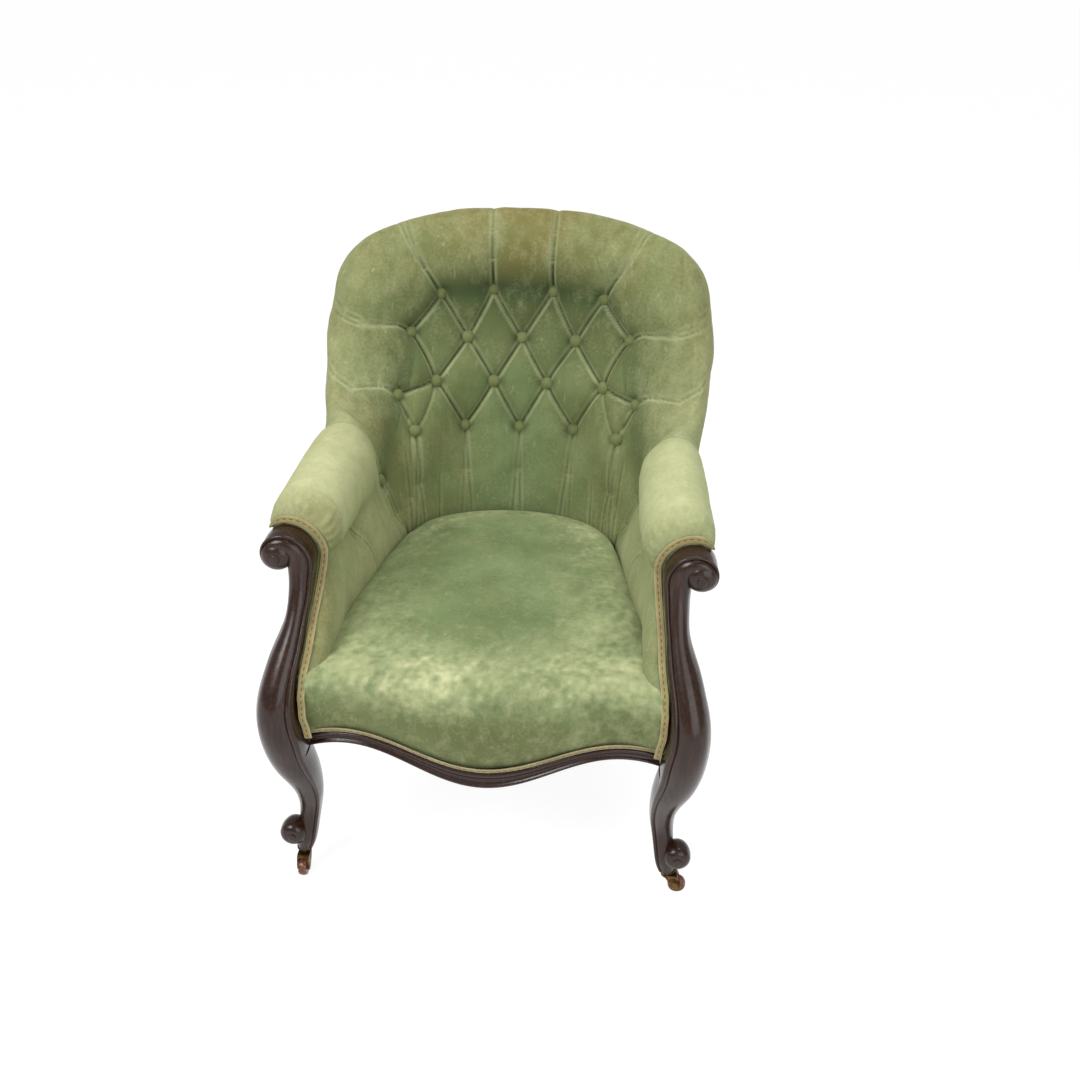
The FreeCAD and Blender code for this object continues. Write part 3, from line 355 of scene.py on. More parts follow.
@dataclass(frozen=True)
class Wood:
    """Planed wood with long fibres, bare or under old French polish.

    The fibres give fine streaks along the piece; polish adds a soft gloss that wear has dulled in patches.
    """

    name: str
    dark: str
    middle: str
    light: str
    roughness: float
    coat: float
    fibre_mm: float = 4.0
    fibre_deep_mm: float = 0.6
    patch_mm: float = 60.0
    # The fibres are drawn out along the height.
    fibre_scale: Point = (1.0, 1.0, 0.08)
    # Noise at which the dark, middle and light tones stand.
    tones: tuple[float, float, float] = (0.34, 0.53, 0.72)

    def build(self) -> Material:
        """Makes the material, with its fibres along Z."""
        material, tree, shader = new_finish(self.name)
        place = add_node(tree, "TexCoord", {}, "Object")
        along = add_node(tree, "Mapping", {"Vector": place, "Scale": self.fibre_scale})
        fibre, patch = (
            add_node(tree, "TexNoise", {"Vector": spot, "Scale": per_metre(size), "Detail": detail})
            for spot, size, detail in ((along, self.fibre_mm, 4.0), (place, self.patch_mm, 3.0)))
        tone = add_node(tree, "ValToRGB", {0: fibre})
        stops = tone.node.color_ramp.elements
        stops[0].position = self.tones[0]
        stops[0].color = linear(self.dark)
        stops[1].position = self.tones[2]
        stops[1].color = linear(self.light)
        stops.new(self.tones[1]).color = linear(self.middle)
        worn = add_node(tree, "MapRange", {0: patch, 1: 0.45, 2: 0.75, 3: 0.0, 4: 0.5})
        dull = {0: patch, 1: 0.3, 2: 0.7, 3: self.roughness - 0.08, 4: self.roughness + 0.12}
        relief = {"Height": fibre, "Strength": 0.12, "Distance": self.fibre_deep_mm * MM}
        plug(tree, shader, {
            "Base Color": add_node(tree, "Mix", {0: worn, 6: tone, 7: linear(self.middle)}, 2, data_type="RGBA"),
            "Roughness": add_node(tree, "MapRange", dull), "Normal": add_node(tree, "Bump", relief),
            "Coat Weight": self.coat, "Coat Roughness": 0.18, "Specular IOR Level": 0.26})
        return material


@dataclass(frozen=True)
class Gimp:
    """Woven gimp braid of gold silk with brown dashes down its middle.

    The twisted edges rise in fine beads, each with a painted highlight, the flat middle is duller.
    """

    gold: str = "#988c5a"
    pale: str = "#bab083"
    brown: str = "#5f4b2d"
    dash_mm: float = 10.5
    twist_mm: float = 3.5
    twist_deep_mm: float = 0.6
    grime_mm: float = 30.0
    # Middle of the braid, and half the width of the dashes and of the flat part, as shares of its width.
    middle: float = 0.5
    half_dash: float = 0.1
    half_flat: float = 0.3

    def build(self) -> Material:
        """Makes the material; the piece's own map runs along the braid in metres and across from 0 to 1."""
        material, tree, shader = new_finish("gold_gimp_braid")
        chart = add_node(tree, "TexCoord", {}, "UV")
        along = add_node(tree, "SeparateXYZ", {0: chart})
        across = along.node.outputs[1]
        beats = []
        for pitch in (self.twist_mm, self.dash_mm):
            turns = add_node(tree, "Math", {0: along, 1: 2 * per_metre(pitch)}, operation="MULTIPLY")
            beats.append(add_node(tree, "Math", {0: turns, 1: 1.0}, operation="PINGPONG"))
        twist, dash = beats
        core, flat = (add_node(tree, "Math", {0: across, 1: self.middle, 2: half}, operation="COMPARE")
                      for half in (self.half_dash, self.half_flat))
        dash = add_node(tree, "MapRange", {0: dash, 1: 0.42, 2: 0.56})
        dash = add_node(tree, "Math", {0: dash, 1: core}, operation="MULTIPLY")
        noise_in = {"Vector": chart.node.outputs["Object"], "Scale": per_metre(self.grime_mm), "Detail": 3.0}
        grime = add_node(tree, "TexNoise", noise_in)
        grime = add_node(tree, "MapRange", {0: grime, 1: 0.4, 2: 0.75, 3: 0.0, 4: 0.45})
        colour = linear(self.gold)
        # The twist paints a pale highlight on each bead of the edge cords.
        for share, tint in ((twist, self.pale), (flat, self.gold), (dash, self.brown), (grime, self.brown)):
            colour = add_node(tree, "Mix", {0: share, 6: colour, 7: linear(tint)}, 2, data_type="RGBA")
        relief = {"Height": twist, "Strength": 0.3, "Distance": self.twist_deep_mm * MM}
        plug(tree, shader, {"Base Color": colour, "Normal": add_node(tree, "Bump", relief),
                            "Roughness": 0.75, "Sheen Weight": 0.2})
        return material


@dataclass(frozen=True)
class Metal:
    """Cast or drawn metal, handled for a century: a dull film in patches, brighter between them."""

    name: str
    bright: str
    film: str
    roughness: float
    film_mm: float = 9.0

    def build(self) -> Material:
        """Makes the material."""
        material, tree, shader = new_finish(self.name)
        place = add_node(tree, "TexCoord", {}, "Object")
        film = add_node(tree, "TexNoise", {"Vector": place, "Scale": per_metre(self.film_mm), "Detail": 4.0})
        cover = add_node(tree, "MapRange", {0: film, 1: 0.4, 2: 0.6})
        tones = {0: cover, 6: linear(self.bright), 7: linear(self.film)}
        dull = {0: film, 1: 0.35, 2: 0.65, 3: self.roughness, 4: self.roughness + 0.3}
        plug(tree, shader, {"Base Color": add_node(tree, "Mix", tones, 2, data_type="RGBA"),
                            "Roughness": add_node(tree, "MapRange", dull), "Metallic": 1.0})
        return material


@dataclass(frozen=True)
class Stoneware:
    """Brown glazed stoneware, as castor bowls are: glossy skin, speckled."""

    glaze: str = "#5a3322"
    speckle: str = "#8a5a3c"
    speckle_mm: float = 3.0

    def build(self) -> Material:
        """Makes the material."""
        material, tree, shader = new_finish("brown_glazed_stoneware")
        place = add_node(tree, "TexCoord", {}, "Object")
        spot = add_node(tree, "TexNoise", {"Vector": place, "Scale": per_metre(self.speckle_mm), "Detail": 3.0})
        spot = add_node(tree, "MapRange", {0: spot, 1: 0.5, 2: 0.65})
        tones = {0: spot, 6: linear(self.glaze), 7: linear(self.speckle)}
        plug(tree, shader, {"Base Color": add_node(tree, "Mix", tones, 2, data_type="RGBA"),
                            "Roughness": add_node(tree, "MapRange", {0: spot, 3: 0.25, 4: 0.5})})
        return material


@dataclass(frozen=True)
class Weave:
    """Plain weave seen close: over and under threads of one yarn, with slubs."""

    name: str
    yarn: str
    gap: str
    thread_mm: float
    thread_deep_mm: float = 0.6
    # Threads in the length of a slub.
    slub: float = 6.0

    def build(self) -> Material:
        """Makes the material, with its threads along X and Y."""
        material, tree, shader = new_finish(self.name)
        place = add_node(tree, "TexCoord", {}, "Object")
        axes = add_node(tree, "SeparateXYZ", {0: place}).node.outputs
        threads = []
        for axis in (axes[0], axes[1]):
            turns = add_node(tree, "Math", {0: axis, 1: 2 * per_metre(self.thread_mm)}, operation="MULTIPLY")
            threads.append(add_node(tree, "Math", {0: turns, 1: 1.0}, operation="PINGPONG"))
        cross = add_node(tree, "Math", dict(enumerate(threads)), operation="MULTIPLY")
        size = self.slub * self.thread_mm
        slub = add_node(tree, "TexNoise", {"Vector": place, "Scale": per_metre(size), "Detail": 3.0})
        cross = add_node(tree, "Math", {0: cross, 1: slub}, operation="ADD")
        cross = add_node(tree, "MapRange", {0: cross, 1: 0.4, 2: 1.1})
        tones = {0: cross, 6: linear(self.gap), 7: linear(self.yarn)}
        relief = {"Height": cross, "Strength": 0.4, "Distance": self.thread_deep_mm * MM}
        plug(tree, shader, {"Base Color": add_node(tree, "Mix", tones, 2, data_type="RGBA"),
                            "Normal": add_node(tree, "Bump", relief), "Roughness": 0.9})
        return material


def bell(value: Array, width: float) -> Array:
    """Bell curve that is 1 at zero and falls to about a third at its width."""
    return np.exp(-((value / width) ** 2))


def ramp(value: Array, start: float, length: float) -> Array:
    """Straight rise from 0 to 1 over a length from its start; below zero it rises the other way."""
    return np.clip((value - start) / length, 0, 1)


def fair(points: Array, pitch: float) -> tuple[Array, Array]:
    """Runs a smooth surface through rows of points.

    Args:
        points: Points with the rows on the first axis and x, y, z on the last.
        pitch: Wanted distance between the new rows.

    Returns:
        The new rows, and the number of the new row that stands at each given one.
    """
    gaps = np.linalg.norm(np.diff(points, axis=0), axis=-1)
    gaps = gaps.reshape(len(gaps), -1).mean(axis=1)
    knots = np.concatenate([[0.0], np.cumsum(gaps)])
    slopes = np.gradient(points, knots, axis=0)
    counts = np.maximum(1, np.round(gaps / pitch).astype(int))
    rows = []
    for i, count in enumerate(counts):
        t = (np.arange(count) / count).reshape(-1, *[1] * (points.ndim - 1))
        start, end = slopes[i] * gaps[i], slopes[i + 1] * gaps[i]
        near, far = points[i], points[i + 1]
        rows.append((2 * t**3 - 3 * t**2 + 1) * near + (t**3 - 2 * t**2 + t) * start
                    + (3 * t**2 - 2 * t**3) * far + (t**3 - t**2) * end)
    rows.append(points[-1:])
    return np.concatenate(rows), np.concatenate([[0], np.cumsum(counts)])


def facing(grid: Array) -> Array:
    """Unit normals of a grid of points by column and row."""
    normal = np.cross(np.gradient(grid, axis=0), np.gradient(grid, axis=1))
    return normal / np.maximum(np.linalg.norm(normal, axis=-1, keepdims=True), 1e-9)


def ripple(grid: Array, size: float, seed: float) -> Array:
    """Smooth noise from about -1 to 1 over a grid in mm, of a size in mm; the seed shifts it."""
    flat = grid.reshape(-1, 3) / size + seed
    return np.array([noise.noise(p) for p in flat.tolist()]).reshape(grid.shape[:2])


def lay_grid(name: str, grid: Array) -> Piece:
    """Adds a grid and moves its points into place.

    Args:
        name: Name of the piece.
        grid: Points by column and row in mm.

    Returns:
        The new piece.
    """
    columns, rows = grid.shape[:2]
    bpy.ops.object.select_all(action="DESELECT")
    bpy.ops.mesh.primitive_grid_add(x_subdivisions=columns - 1, y_subdivisions=rows - 1, size=1.0)
    piece = bpy.context.object
    piece.name = name
    piece.data.vertices.foreach_set("co", (grid.transpose(1, 0, 2) * MM).astype(np.float32).ravel())
    piece.data.update()
    bpy.ops.object.shade_smooth()
    return piece


def mark(piece: Piece, name: str, values: Array) -> None:
    """Keeps one number for each point of a grid piece, from 0 to 1, by column and row."""
    layer = piece.data.attributes.new(name, "FLOAT", "POINT")
    layer.data.foreach_set("value", np.clip(values, 0, 1).T.astype(np.float32).ravel())


def pick(piece: Piece) -> None:
    """Selects one piece alone and makes it the active one."""
    bpy.ops.object.select_all(action="DESELECT")
    piece.select_set(True)
    bpy.context.view_layer.objects.active = piece


def edit(piece: Piece) -> None:
    """Opens one piece in edit mode with all its parts selected."""
    pick(piece)
    bpy.ops.object.mode_set(mode="EDIT")
    bpy.ops.mesh.select_all(action="SELECT")


def thicken(piece: Piece, thickness_mm: float) -> None:
    """Gives a sheet its thickness, behind its face.

    Args:
        piece: Sheet that gets a thickness.
        thickness_mm: Thickness in mm.
    """
    pick(piece)
    modifier = piece.modifiers.new("thickness", "SOLIDIFY")
    modifier.thickness = thickness_mm * MM
    modifier.offset = -1.0
    bpy.ops.object.modifier_apply(modifier=modifier.name)


def hand_over(piece: Piece, material: Material, slot: Slot, body: str,
              *nodes: str) -> None:
    """Dresses a piece, hangs it on a body and lets it stand for its nodes.

    Args:
        piece: Finished piece.
        material: Its finish.
        slot: Slot of the record it belongs to; not used.
        body: Body it moves with.
        nodes: Nodes that it replaces.
    """
    piece.data.materials.clear()
    piece.data.materials.append(material)
    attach(piece, body)
    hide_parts(*nodes)
    log.info("%s: %d faces", piece.name, len(piece.data.polygons))


@dataclass(frozen=True)
class WoodEdge:
    """Inner edge of the front leg and arm scroll, which the braid and the arm's padding follow."""

    # Height, x and depth of the edge in mm.
    leg: tuple[Point, ...] = (
        (306, 280, -381.8), (340, 286, -383.4), (375, 287, -378.1), (405, 285, -363.8), (440, 279, -340.6),
        (452, 277.8, -329.8), (480, 275, -305.2), (515, 270, -277.0), (545, 266.5, -259.0))
    # Scroll: its middle, the radius at its end and at the leg, and the power by which it winds in.
    centre: Point = (322.0, -253.0, 572.0)
    eye: float = 23.5
    reach: float = 56.0
    curl: float = 1.35

    def on_leg(self, height: float) -> tuple[Array, Array]:
        """Place on the leg.

        Args:
            height: Height in mm.

        Returns:
            The edge's point and the way out of the wood.
        """
        table = np.array(self.leg)
        x, y = (np.interp(height, table[:, 0], table[:, k]) for k in (1, 2))
        return np.array([x, y, height]), np.array([-1.0, 0.0, 0.0])

    def on_scroll(self, turn: float) -> tuple[Array, Array]:
        """Place on the arm scroll.

        Args:
            turn: Angle in degrees, 180 at the leg and less over the top.

        Returns:
            The edge's point and the way out of the wood.
        """
        radius = self.eye + (self.reach - self.eye) * (turn / 180) ** self.curl
        out = np.array([math.cos(math.radians(turn)), 0.0, math.sin(math.radians(turn))])
        return np.array(self.centre) + radius * out, out


@dataclass(frozen=True)
class Segment:
    """Straight piece of a pleat: its ends in mm, how hard it holds the cover at each, and its reach."""

    start: Array
    end: Array
    hold: float
    end_hold: float
    reach: float


@dataclass(frozen=True)
class Cover:
    """Fine surface through the padding's sections, from the left arm's front round to the right arm's."""

    grid: Array
    normals: Array
    # Row of the surface that stands at each Row of the sections, and columns where arms and back meet.
    row_at: Array
    left: int
    right: int

    def by_row(self, values: Rows) -> Array:
        """Spreads one value for each Row over the surface's rows."""
        return np.interp(np.arange(self.grid.shape[1]), self.row_at, values)

    def by_column(self, places: list[int], values: list[float]) -> Array:
        """Spreads values given at some columns over all of them."""
        return np.interp(np.arange(self.grid.shape[0]), places, values)[:, None]

    def gaps(self, place: Point) -> list[Array]:
        """Distance of each point from the left and the right twin of a place, in the order of Side."""
        return [np.linalg.norm(self.grid - np.array(place) * (side.value, 1, 1), axis=-1) for side in Side]

    def inside(self) -> Array:
        """From 0 on the arms to 1 on the back."""
        places = [self.left - 12, self.left + 40, self.right - 40, self.right + 12]
        return self.by_column(places, [0, 1, 1, 0])


@dataclass(frozen=True)
class Tufting:
    """What the buttons and pleats do to each point of the cover.

    Free goes from 0 in a pleat to 1 in the middle of a puff. Lips and folds are 1 on a folded edge and in
    its shadow line, dip along the outer buttons, and rings round each button. Dimples is 1 under a button and
    2 under one in the middle, which is its own twin. Hollow is a depth in mm.
    """

    free: Array
    lips: Array
    folds: Array
    dip: Array
    rings: Array
    dimples: Array
    hollow: Array


@dataclass
class Tub:
    """Padding of the inside back and arms: one velvet cover in three pieces that meet at the arm buttons."""

    velvet: Material
    edge: WoodEdge
    pitch: float = 2.6
    # Pleats: reach of the puffs beside them, and the sharp and the soft part of their upper side.
    pleat_reach: float = 9.0
    sharp: float = 0.3
    blunt: float = 1.7
    # Reaches to which a pleat is felt, depth in mm to which it holds, and width of its change of side.
    felt: float = 7.0
    held: float = 30.0
    turn: float = 7.0
    # Folded lip, worn and with a painted highlight, and the painted shadow line of a pleat: place and width in
    # mm, and how much the upper lip is weaker.
    lip_above: float = 0.6
    lip_at: float = 4.6
    lip_wide: float = 2.3
    fold_wide: float = 2.6
    # Power by which a running pleat bends away from its button.
    bend: float = 1.35
    # How much less the pleats hold the cover on the side rolls: where these start, and how far they reach.
    roll_slack: float = 0.72
    roll_out: tuple[float, float] = (165.0, 60.0)
    roll_behind: tuple[float, float] = (75.0, 50.0)
    valley_deep: float = 7.0
    valley_reach: float = 24.0
    dimple: float = 5.0
    dimple_reach: float = 13.0
    # Ring of painted shade round each button: radius and width.
    ring: float = 11.0
    ring_wide: float = 6.0
    # Gathers at the arm's front: height, spacing, and where they lie behind the wood.
    gather: float = 0.7
    gather_pitch: float = 26.0
    gather_at: float = 24.0
    gather_wide: float = 14.0
    # By Row: share of the roll, height of the puffs over the pleats, depth of the pleats below the section.
    on_roll: Rows = (0, 0, 0, 0, 0, .5, 1, 1, 1, 1, 1, 1, 1, 1)
    lift: Rows = (0, 2, 8, 14, 17, 17, 15, 8, 2, 1, 1, 0, 0, 0)
    sink: Rows = (0, 2, 5, 4, 2, 2, 3, 5, 6, 6, 6, 4, 0, 0)
    # By Row: height of the soft waves in the cover, and share of the gathers.
    waves: Rows = (0, .6, 1, .8, .8, .8, .8, 1.2, 1.3, 1.2, 1, .6, 0, 0)
    gathers: Rows = (0, 0, .3, .7, 1, 1, 1, 1, 1, .8, .6, .3, 0, 0)
    # By Row: browned pile, the green middle of the back, and painted shade on the back, deepest under the roll
    # and at its foot, and at the foot of the arms.
    tan: Rows = (.3, .7, .75, .7, .6, .55, .7, .75, .85, .9, .75, .4, 0, 0)
    green: Rows = (1, 1, 1, 1, .85, .4, .1, 0, 0, 0, 0, 0, 0, 0)
    shade_back: Rows = (.3, .15, .05, 0, .1, .42, .8, .25, 0, 0, 0, 0, 0, 0)
    shade_arm: Rows = (.2, 0, 0, 0, 0, 0, 0, 0, 0, 0, 0, 0, 0, 0)
    # By Row: worn pile on the back, more of it low on the wings, and on the arms.
    worn_back: Rows = (0, .1, .12, .1, 0, 0, .03, .08, .1, .1, .1, .06, 0, 0)
    worn_wing: Rows = (0, 0, 0, 0, 0, .2, .7, 1, 1, 1, 1, .6, 0, 0)
    worn_arm: Rows = (.2, .42, .5, .5, .5, .55, .64, .76, .88, .92, .8, .5, .1, 0)
    # Heights on the leg, then turns on the scroll, where each Row meets the wood.
    leg_rows: tuple[float, ...] = (384, 414, 460, 510, 545)
    scroll_rows: tuple[float, ...] = (180, 166, 147, 128, 110, 88, 62)
    # Place of the last two rows at the arm's front, tucked in behind the wood.
    tuck: tuple[Point, ...] = ((316, -243, 590), (294, -243, 580))
    # Rounded front of the arm: share of the full section, and how far behind the wood's edge.
    front: tuple[tuple[float, float], ...] = ((0.93, 26), (0.64, 8), (0.0, 1.5))
    # Gap in mm between the wood and the padding's edge.
    wood_gap: float = 2.5
    seats: dict[str, tuple[Array, Array]] = field(default_factory=dict)

    def stations(self) -> Array:
        """Sections from the front of the left arm round to the front of the right arm, in mm."""
        right = [np.array(section, float) for section in BACK_STATIONS]
        for depth, section in ARM_STATIONS:
            right.append(np.array([(x, depth, z) for x, z in section], float))
        full = right[-1]
        places = [self.edge.on_leg(height) for height in self.leg_rows]
        places += [self.edge.on_scroll(turn) for turn in self.scroll_rows]
        places += [(np.array(point, float), np.zeros(3)) for point in self.tuck]
        for share, behind in self.front:
            rows = []
            for (point, out), outer in zip(places, full):
                start = point + self.wood_gap * out
                mixed = start + (outer - start) * share
                rows.append((mixed[0], point[1] + behind, mixed[2]))
            right.append(np.array(rows))
        return np.array([section * FLIP for section in right[:0:-1]] + right)

    def cover(self, stations: Array) -> Cover:
        """Runs the fine surface through the sections.

        Args:
            stations: Sections of the padding.

        Returns:
            The surface, still without its puffs.
        """
        lines, row_at = fair(stations.transpose(1, 0, 2), self.pitch)
        grid, column_at = fair(lines.transpose(1, 0, 2), self.pitch)
        middle, joint = len(stations) // 2, len(BACK_STATIONS) - 1
        return Cover(grid, facing(grid), row_at, column_at[middle - joint], column_at[middle + joint])

    def segments(self, stations: Array) -> list[Segment]:
        """Pleats as straight pieces.

        Args:
            stations: Sections of the padding.

        Returns:
            The straight pieces.
        """
        found = []
        for first, second, hold in DIAMONDS:
            a, b = np.array(BUTTONS[first], float), np.array(BUTTONS[second], float)
            found.append(Segment(a, b, hold, hold, self.pleat_reach))
            found.append(Segment(a * FLIP, b * FLIP, hold, hold, self.pleat_reach))
        places = np.arange(len(stations)) - len(stations) // 2
        for start, low, end, high, first, last, reach in RUNS:
            step = 1 if high > low else -1
            rows = range(low, high + step, step)
            holds = np.linspace(first, last, len(rows))
            sections = start + (end - start) * np.linspace(0, 1, len(rows)) ** self.bend
            for side in Side:
                line = [np.array([np.interp(side.value * s, places, stations[:, r, k]) for k in range(3)])
                        for s, r in zip(sections, rows)]
                for k in range(len(rows) - 1):
                    found.append(Segment(line[k], line[k + 1], holds[k], holds[k + 1], reach))
        return found

    def pulled(self, cover: Cover, segments: list[Segment]) -> tuple[Array, Array, Array]:
        """How far the cover stands free of the pleats, and where its folded lips and fold lines are.

        Args:
            cover: Surface through the sections.
            segments: Pleats.

        Returns:
            From 0 in a pleat to 1 in the middle of a puff, then from 0 to 1 on a lip and on a fold line.
        """
        points, normals = cover.grid.reshape(-1, 3), cover.normals.reshape(-1, 3)
        free = np.ones(len(points))
        lips, folds = np.zeros(len(points)), np.zeros(len(points))
        for pleat in segments:
            along = pleat.end - pleat.start
            middle = (pleat.start + pleat.end) / 2
            around = np.linalg.norm(along) / 2 + self.felt * pleat.reach
            near = np.linalg.norm(points - middle, axis=1) < around
            p, n = points[near], normals[near]
            t = np.clip(((p - pleat.start) @ along) / (along @ along), 0, 1)
            off = p - (pleat.start + t[:, None] * along)
            depth = np.einsum("ij,ij->i", off, n)
            flat = off - depth[:, None] * n
            d = np.linalg.norm(flat, axis=1)
            above = 0.5 + 0.5 * np.tanh(flat[:, 2] / self.turn)
            reaches = self.sharp * pleat.reach, self.blunt * pleat.reach
            upper = sum(0.5 * np.exp(-d / reach) for reach in reaches)
            lower = np.exp(-d / pleat.reach)
            hold = (pleat.hold + (pleat.end_hold - pleat.hold) * t) * np.exp(-((depth / self.held) ** 4))
            free[near] *= 1 - hold * (above * upper + (1 - above) * lower)
            lip = hold * bell(d - self.lip_at, self.lip_wide) * (1 - self.lip_above * above)
            lips[near] = np.maximum(lips[near], lip)
            folds[near] = np.maximum(folds[near], hold * bell(d, self.fold_wide))
        shape = cover.grid.shape[:2]
        return free.reshape(shape), lips.reshape(shape), folds.reshape(shape)

    def valley(self, cover: Cover) -> Array:
        """How far each point lies in the dip along the outer buttons.

        Args:
            cover: Surface through the sections.

        Returns:
            From 0 outside the dip to 1 along its bottom.
        """
        half = [np.array(BUTTONS[name], float) for name in VALLEY]
        line = [place * FLIP for place in half[::-1]] + half
        dip = np.zeros(cover.grid.shape[:2])
        for start, end in zip(line, line[1:]):
            along = end - start
            t = np.clip(((cover.grid - start) @ along) / (along @ along), 0, 1)
            d = np.linalg.norm(cover.grid - (start + t[..., None] * along), axis=-1)
            dip = np.maximum(dip, bell(d, self.valley_reach))
        return dip

    def tuft(self, cover: Cover, segments: list[Segment]) -> Tufting:
        """Works out what the buttons and pleats do to the cover.

        Args:
            cover: Surface through the sections.
            segments: Pleats.

        Returns:
            Values for each point.
        """
        free, lips, folds = self.pulled(cover, segments)
        roll = ramp(np.abs(cover.grid[..., 0]), *self.roll_out) * cover.by_row(self.on_roll)
        roll = roll * ramp(cover.grid[..., 1], *self.roll_behind)
        gaps = [d for place in BUTTONS.values() for d in cover.gaps(place)]
        return Tufting(
            free=1 - (1 - free) * (1 - self.roll_slack * roll),
            lips=lips,
            folds=folds,
            dip=self.valley(cover),
            rings=np.max([bell(d - self.ring, self.ring_wide) for d in gaps], axis=0),
            dimples=np.sum([bell(d, self.dimple_reach) for d in gaps], axis=0),
            hollow=sum(deep * bell(d, reach) for place, deep, reach in PULLS for d in cover.gaps(place)))

    def push(self, cover: Cover, tufting: Tufting) -> Array:
        """How far each point of the cover is pushed out.

        Args:
            cover: Surface through the sections.
            tufting: What the buttons and pleats do.

        Returns:
            Distance in mm along the normal.
        """
        grid, free = cover.grid, tufting.free
        push = cover.inside() * cover.by_row(self.lift) * free - cover.by_row(self.sink) * (1 - free)
        push -= self.dimple * tufting.dimples + self.valley_deep * tufting.dip + tufting.hollow
        push += (ripple(grid, 55, 3.1) + 0.5 * ripple(grid, 21, 7.7)) * cover.by_row(self.waves)
        columns, rows = np.arange(grid.shape[0]), np.arange(grid.shape[1])
        behind = np.minimum(columns, columns[-1] - columns)[:, None] * self.pitch
        drawn = bell(behind - self.gather_at, self.gather_wide) * cover.by_row(self.gathers)
        turns = 2 * math.pi * rows / (self.gather_pitch / self.pitch) + 4 * ripple(grid, 40, 2.9)
        return push + drawn * self.gather * np.sin(turns)

    def marks(self, cover: Cover, tufting: Tufting) -> dict[str, Array]:
        """Numbers that the velvet reads: wear, painted shade, browned pile, and pale lips that are worn and
        carry a painted highlight.

        Args:
            cover: Surface through the sections.
            tufting: What the buttons and pleats do.

        Returns:
            Values for each point, by name.
        """
        grid, inside = cover.grid, cover.inside()
        x = grid[..., 0]
        green = bell(x, 150) * cover.by_row(self.green)
        tan = cover.by_row(self.tan) * (0.75 + 0.45 * bell(x, 120)) * (1 - 0.85 * green)
        tan = tan + (1 - inside) * np.where(x < 0, 0.22, -0.1)
        # Painted shade on the back, deepest under the roll's overhang and at its foot, and at the foot of the
        # arms.
        below_roll = np.arange(grid.shape[1]) < cover.row_at[Row.RISE]
        dark = inside * cover.by_row(self.shade_back) * (1 - 0.5 * ramp(np.abs(x), 0, 190) ** 2) * below_roll
        dark = dark + (1 - inside) * cover.by_row(self.shade_arm)
        # Painted shade along the fold lines, in the pleats, round each button, along the dip and in the pulled
        # hollows.
        crease_shade = 0.7 * tufting.folds + 0.3 * (1 - tufting.free) ** 2 + 0.45 * tufting.rings
        return {
            "wear": self.wear(cover, tufting.free),
            "crease_shade": crease_shade + 0.3 * tufting.dip + 0.03 * tufting.hollow + dark,
            "tan": tan * (0.9 + 0.35 * ripple(grid, 60, 1.3)),
            "lip": tufting.lips * (0.8 + 0.35 * ripple(grid, 32, 6.1)),
        }

    def wear(self, cover: Cover, free: Array) -> Array:
        """How far the pile has worn: most on the arm tops and along the crest.

        Args:
            cover: Surface through the sections.
            free: How far each point stands out of the pleats.

        Returns:
            From 0, full pile, to 1, bare.
        """
        x, z = cover.grid[..., 0], cover.grid[..., 2]
        low = ramp(z, 790, -130) * cover.by_row(self.worn_wing)
        back = cover.by_row(self.worn_back) * (0.35 + 0.85 * ramp(np.abs(x), 0, 280)) + 0.2 * low
        left, right, last = cover.left, cover.right, len(cover.grid) - 1
        # The arms' front ends get less wear than their tops, which also paints them darker as painted shade on
        # their faces that turn forward and down.
        on_arm = cover.by_column(
            [0, 10, 34, left - 38, left + 8, right - 8, right + 38, last - 34, last - 10, last],
            [.25, .35, .95, .85, .1, .1, .85, .95, .4, .3])
        worn = on_arm * cover.by_row(self.worn_arm) + (1 - on_arm) * back
        return worn * (0.55 + 0.45 * free) + 0.1 * ripple(cover.grid, 60, 9.4)

    def build(self) -> None:
        """Makes the back and the two arms."""
        stations = self.stations()
        cover = self.cover(stations)
        tufting = self.tuft(cover, self.segments(stations))
        puffed = cover.grid + self.push(cover, tufting)[..., None] * cover.normals
        self.note_seats(cover, puffed)
        marks = self.marks(cover, tufting)
        left, right = cover.left, cover.right
        self.close("tufted_back", puffed, marks, slice(left, right + 1), 0.8, "tufted_back_pad")
        for side, part in (("left", slice(0, left + 1)), ("right", slice(right, None))):
            nodes = f"arm_pad_{side}", f"arm_front_pad_{side}"
            self.close(f"arm_padding_{side}", puffed, marks, part, 0.85, *nodes)

    def note_seats(self, cover: Cover, puffed: Array) -> None:
        """Finds where each button sits on the cover.

        Args:
            cover: Surface through the sections.
            puffed: Finished surface.
        """
        for name, place in BUTTONS.items():
            for side, gap in zip(Side, cover.gaps(place)):
                at = np.unravel_index(np.argmin(gap), gap.shape)
                if side is Side.RIGHT or place[0]:
                    self.seats[f"{name}_{side.name.lower()}"] = (puffed[at], cover.normals[at])

    def close(self, name: str, puffed: Array, marks: dict[str, Array], part: slice, fill: float,
              *nodes: str) -> None:
        """Cuts one piece out of the cover, closes it behind and hands it over.

        Args:
            name: Name of the piece.
            puffed: Finished surface.
            marks: Numbers that the velvet reads for each point.
            part: Columns of the piece.
            fill: How tightly it is stuffed; not used.
            nodes: Nodes that it replaces.
        """
        skin = puffed[part]
        steps = np.linspace(0, 1, 6)[1:, None]
        hidden = np.stack([skin[:, -1] + (skin[:, 0] - skin[:, -1]) * t for t in steps], axis=1)
        piece = lay_grid(name, np.concatenate([skin, hidden], axis=1))
        blank = np.zeros(hidden.shape[:2])
        for label, values in marks.items():
            mark(piece, label, np.concatenate([values[part], blank], axis=1))
        edit(piece)
        bpy.ops.mesh.remove_doubles(threshold=0.00002)
        bpy.ops.mesh.select_all(action="DESELECT")
        bpy.ops.mesh.select_non_manifold()
        bpy.ops.mesh.fill_holes(sides=0)
        bpy.ops.object.mode_set(mode="OBJECT")
        hand_over(piece, self.velvet, Slot.VELVET, CHAIR, *nodes)


